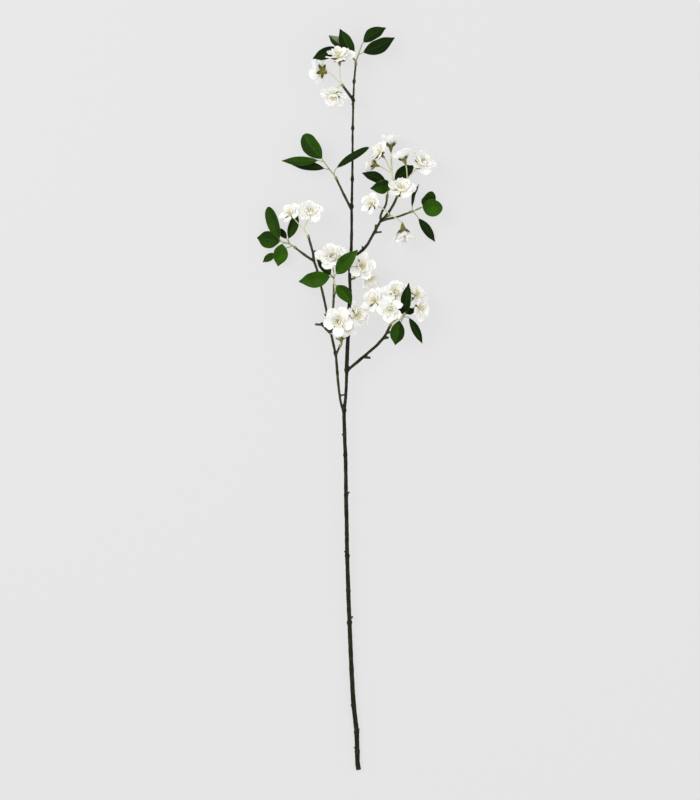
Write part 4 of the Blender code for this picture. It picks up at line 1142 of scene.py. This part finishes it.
SCALE_OUTLINE = ((0, 0.7), (0.33, 1.0), (0.67, 0.8), (1.0, 0.08))
SCALE_SKIN = 0.12
BUD_PROFILE = ((-0.2, 0.12), (0.0, 0.19), (0.25, 0.24), (0.5, 0.21), (0.75, 0.14), (1.0, 0.03))
BUD_SIDES = 8
BUD_SCALES = 4
BUD_SCALE_SIZE = (0.17, 0.5, 0.17)
# The root and the outwards lean of each row of scales, and in the collar's rows, in millimetres, its size
BUD_ROWS = (((0.17, -0.1), -0.05), ((0.2, 0.15), -0.21), ((0.17, 0.4), -0.37))
COLLAR_ROWS = (((1.25, -0.6), 0.12, (1.25, 3.0, 1.3)), ((1.2, 0.6), 0.02, (1.25, 3.6, 1.3)))
COLLAR_SCALES = 5


def model_scale():
    scale = shape_sheet("scale_model", 4, 3, SCALE_OUTLINE, lambda x, y: -0.5 * x * x, lambda x, y: 0.0)
    thicken(scale, SCALE_SKIN)
    return scale


def model_bud():
    """A resting bud that points up, in overlapping scales."""
    scales = [raise_profile(BUD_PROFILE, BUD_SIDES)]
    scale = model_scale()
    for row, (root, lean) in enumerate(BUD_ROWS):
        scales += ring_of(scale, BUD_SCALES, 0.5 * row, (lean, 1), BUD_SCALE_SIZE, root)
    put_away(scale)
    return join("bud_model", scales)


def model_collar():
    """The ring of bud scales that a cluster of flowers or leaves grows from."""
    scale = model_scale()
    scales = []
    for row, (root, lean, size) in enumerate(COLLAR_ROWS):
        scales += ring_of(scale, COLLAR_SCALES, 0.5 * row, (lean, 1), size, root)
    put_away(scale)
    return join("collar_model", scales)


# Bark

BARK_VOXEL = 0.00066
TWIG_GROWTH = 0.55
BUD_SEAT = 2.3
# How far out the cushion under a bud reaches, and its radius there
CUSHION = ((0, 2.6), (1.5, 2.2), (BUD_SEAT + 0.6, 1.1))
# The name, size, depth and strength of the cloud textures that roughen the bark
BARK_CLOUDS = (("knots", 0.011, 2, 0.0008), ("flakes", 0.0022, 3, 0.0005))
# Moves the grain of each stem away from that of the one before
GRAIN_STEP = 137.0
# The main stem's bark looks this much older, and wood thinner than this radius looks young
MAIN_STEM_AGE = 0.45
YOUNG_RADIUS, YOUNG_RANGE = 2.35, 0.7


def stem_stations(stem):
    """The centre points and radii along a stem, with a low ring of bark at each swelling."""
    lengths = lengths_along(stem.points)
    stations = {distance: 0.0 for distance in lengths}
    for swelling, height in stem.swellings:
        for distance in [d for d in stations if abs(d - swelling) < SWELLING_REACH and 0 < d < lengths[-1]]:
            del stations[distance]
        stations[swelling - SWELLING_REACH] = 0.0
        stations[swelling] = height
        stations[swelling + SWELLING_REACH] = 0.0
    order = sorted(stations)
    centres = [point_at(stem.points, lengths, distance) for distance in order]
    return centres, [between(stem.girth, distance) + stations[distance] for distance in order]


def twig_stations(twig):
    """The centre points and radii along a twig, which tapers evenly."""
    lengths = lengths_along(twig.points)
    taper = (twig.last_radius - twig.first_radius) / lengths[-1]
    first = twig.first_radius + TWIG_GROWTH
    return [Vector(point) for point in twig.points], [first + taper * distance for distance in lengths]


def make_bark(finish):
    stems = [stem_stations(MAIN_STEM), stem_stations(LEFT_BRANCH)]
    stems += [twig_stations(twig) for twig in TWIGS.values()]
    rods = [draw_rod(centres, radii, sides=3) for centres, radii in stems]
    steps, radii = zip(*CUSHION)
    for bud in BUDS:
        rods.append(draw_rod([Vector(bud.root) + unit(bud.towards) * step for step in steps], radii))
    bark = join("bark", rods)
    finish_with(bark, "REMESH", mode="VOXEL", voxel_size=BARK_VOXEL)
    finish_with(bark, "SMOOTH", factor=0.5, iterations=3)
    for name, size, depth, strength in BARK_CLOUDS:
        roughen(bark, cloud(name, size, depth), strength)
    mark_grain(bark, stems)
    show(bark, "bark", "woody_branch", finish)


def mark_grain(bark, stems):
    """Marks each point of the bark with its place across and along its own stem, and how young it is."""
    count = len(bark.data.vertices)
    flat = np.empty(count * 3)
    bark.data.vertices.foreach_get("co", flat)
    places = flat.reshape(-1, 3) / MM - np.array(ORIGIN_SHIFT)
    nearest = np.full(count, np.inf)
    grain = np.zeros((count, 3))
    girth = np.zeros(count)
    for number, (centres, radii) in enumerate(stems):
        start = number * GRAIN_STEP
        frames = path_frames(centres)
        for index, (first, side, other) in enumerate(frames[:-1]):
            first = np.array(first)
            line = np.array(frames[index + 1][0]) - first
            length = np.linalg.norm(line)
            share = np.clip((places - first) @ line / length ** 2, 0, 1)
            off = places - (first + share[:, None] * line)
            here = radii[index] + (radii[index + 1] - radii[index]) * share
            gap = np.linalg.norm(off, axis=1) - here
            better = gap < nearest
            nearest[better] = gap[better]
            found = np.stack((off @ np.array(side), off @ np.array(other), start + share * length), axis=1)
            grain[better] = found[better]
            girth[better] = here[better] + (MAIN_STEM_AGE if number == 0 else 0)
            start += length
    layer = bark.data.attributes.new("grain", "FLOAT_VECTOR", "POINT")
    layer.data.foreach_set("vector", grain.reshape(-1))
    mark(bark, "youth", np.clip((YOUNG_RADIUS - girth) / YOUNG_RANGE, 0, 1))


def make_branch():
    make_bark(bark_finish())
    bud_skin = plain_grain_finish("bud_scale", (0.03, 0.02, 0.012, 1), (0.075, 0.05, 0.026, 1), 900, 0.65)
    collar_skin = plain_grain_finish("collar_scale", (0.2, 0.2, 0.05, 1), (0.4, 0.4, 0.16, 1), 600, 0.6)
    bud = model_bud()
    buds = [stand(bud, Vector(one.root) + unit(one.towards) * BUD_SEAT, one.towards, one.length, number)
            for number, one in enumerate(BUDS)]
    show(join("resting_buds", buds), "bark", "woody_branch", bud_skin)
    collar = model_collar()
    for kind, slot, groups in (("flower", "flower_stalks", SPRAYS), ("leaf", "leaves", SHOOTS)):
        for name, group in groups.items():
            end, along = tip_of(group.twig)
            scales = stand(collar, end + along * JOIN_GAP, along, 1, len(name))
            scales.name = f"{kind}_bud_scales_{name}"
            show(scales, slot, f"{slot}_{name}", collar_skin)
    put_away(bud, collar)


def make_foliage():
    # The light and dark greens give fresh and old leaves, and also the lit half and the painted shaded half
    # of a folded leaf.
    above = leaf_finish("leaf_upper", (0.03, 0.1, 0.002, 1), (0.004, 0.0125, 0.001, 1), (0.06, 0.13, 0.02, 1),
                        upper=True)
    below = leaf_finish("leaf_underside", (0.13, 0.2, 0.08, 1), (0.07, 0.12, 0.05, 1), (0.3, 0.38, 0.2, 1),
                        upper=False)
    stalk = stalk_finish("leaf_stalk_green", (0.2, 0.28, 0.08, 1), (0.32, 0.36, 0.13, 1),
                         (0.16, 0.1, 0.04, 1))
    models = [[model_leaf(f"leaf_model_{number}", outline, arch, *wave)
               for number, (arch, wave) in enumerate(zip(LEAF_ARCHES, LEAF_WAVES))]
              for outline in (LEAF_OUTLINE, BLUNT_OUTLINE)]
    ripple = cloud(*LEAF_RIPPLE)
    for name, shoot in SHOOTS.items():
        make_leaves(name, shoot, models, ripple, (above, below))
        make_leaf_stalks(name, shoot, stalk)
    put_away(*models[0], *models[1])


def make_flowers():
    white = petal_finish()
    green = stalk_finish("pedicel_green", (0.58, 0.6, 0.35, 1), (0.66, 0.67, 0.43, 1), (0.42, 0.36, 0.16, 1))
    olive = calyx_finish()
    cream = plain_grain_finish("filament_cream", (0.87, 0.86, 0.72, 1), (0.82, 0.8, 0.6, 1), 900, 0.6)
    yellow = plain_grain_finish("anther_yellow", (0.85, 0.76, 0.42, 1), (0.74, 0.6, 0.28, 1), 2500, 0.75)
    style = plain_grain_finish("pistil_green", (0.5, 0.55, 0.2, 1), (0.62, 0.62, 0.32, 1), 1500, 0.55)
    outer = [model_petal(f"outer_{number}", OUTER_OUTLINE, OUTER_RIB, OUTER_EDGE, 6, 9, 0.15, *kind)
             for number, kind in enumerate(OUTER_KINDS)]
    inner = [model_petal(f"inner_{number}", INNER_OUTLINE, INNER_RIB, INNER_EDGE, 4, 7, 1.0, *kind)
             for number, kind in enumerate(INNER_KINDS)]
    frills = [(cloud(name, size), strength) for name, size, strength in FRILLS]
    calyces = {model_calyx(math.radians(rise)): rise for rise in SEPAL_RISES}
    filaments = [(model_filament(lean), lean) for lean in FILAMENT_LEANS]
    anther, pistil = model_anther(), raise_profile(PISTIL_PROFILE, 6)
    for name, spray in SPRAYS.items():
        for bloom_name, bloom in spray.blooms.items():
            make_corolla(bloom_name, bloom, outer, inner, frills, white)
        make_calyces(name, spray, calyces, olive)
        make_pedicels(name, spray, green)
        make_stamens(name, spray, filaments, anther, pistil, (cream, yellow, style))
    put_away(*outer, *inner, *calyces, anther, pistil, *[model for model, _ in filaments])


# Studio, in metres

CAMERA_LENS = 170
CAMERA_SENSOR = 36
FIELD_HEIGHT = 1.2
LOOKING_AT = Vector((0, -0.00068, 0.03))
FLOOR_SIZE, FLOOR_HEIGHT = 14, -0.0004
LAMP_TARGET = Vector((0, 0.1, 0))
# The name, place, size and power of each lamp
LAMPS = (("key_light", (-1.3, 0.9, 2.2), 1.4, 28), ("fill_light", (1.6, -0.6, 2.4), 2.0, 11))
SKY_STRENGTH = 0.81
FLOOR_GLOW = 0.655


def set_studio():
    camera_distance = FIELD_HEIGHT / 2 / (CAMERA_SENSOR / 2 / CAMERA_LENS)
    bpy.ops.object.camera_add(location=LOOKING_AT + UP * camera_distance, rotation=(0, 0, 0))
    camera = bpy.context.object
    camera.data.sensor_fit = "VERTICAL"
    camera.data.sensor_height = CAMERA_SENSOR
    camera.data.lens = CAMERA_LENS
    camera.data.clip_end = 50
    bpy.context.scene.camera = camera

    bpy.ops.mesh.primitive_plane_add(size=FLOOR_SIZE, location=(0, 0, FLOOR_HEIGHT))
    floor = bpy.context.object
    floor.name = "studio_floor"
    paper = Finish("studio_paper")
    paper.coat(Base_Color=grey(0.12), Roughness=0.9, Specular_IOR_Level=0.0,
               Emission_Color=grey(1.0), Emission_Strength=FLOOR_GLOW)
    floor.data.materials.append(paper.material)

    world = bpy.data.worlds.new("studio_air")
    world.use_nodes = True
    world.node_tree.nodes["Background"].inputs["Color"].default_value = grey(1.0)
    world.node_tree.nodes["Background"].inputs["Strength"].default_value = SKY_STRENGTH
    bpy.context.scene.world = world
    bpy.context.scene.view_settings.view_transform = "Standard"
    for name, lamp_place, size, power in LAMPS:
        bpy.ops.object.light_add(type="AREA", location=lamp_place)
        lamp = bpy.context.object
        lamp.name = name
        lamp.data.size = size
        lamp.data.energy = power
        lamp.rotation_euler = (LAMP_TARGET - Vector(lamp_place)).to_track_quat("-Z", "Y").to_euler()


make_branch()
make_foliage()
make_flowers()
set_studio()
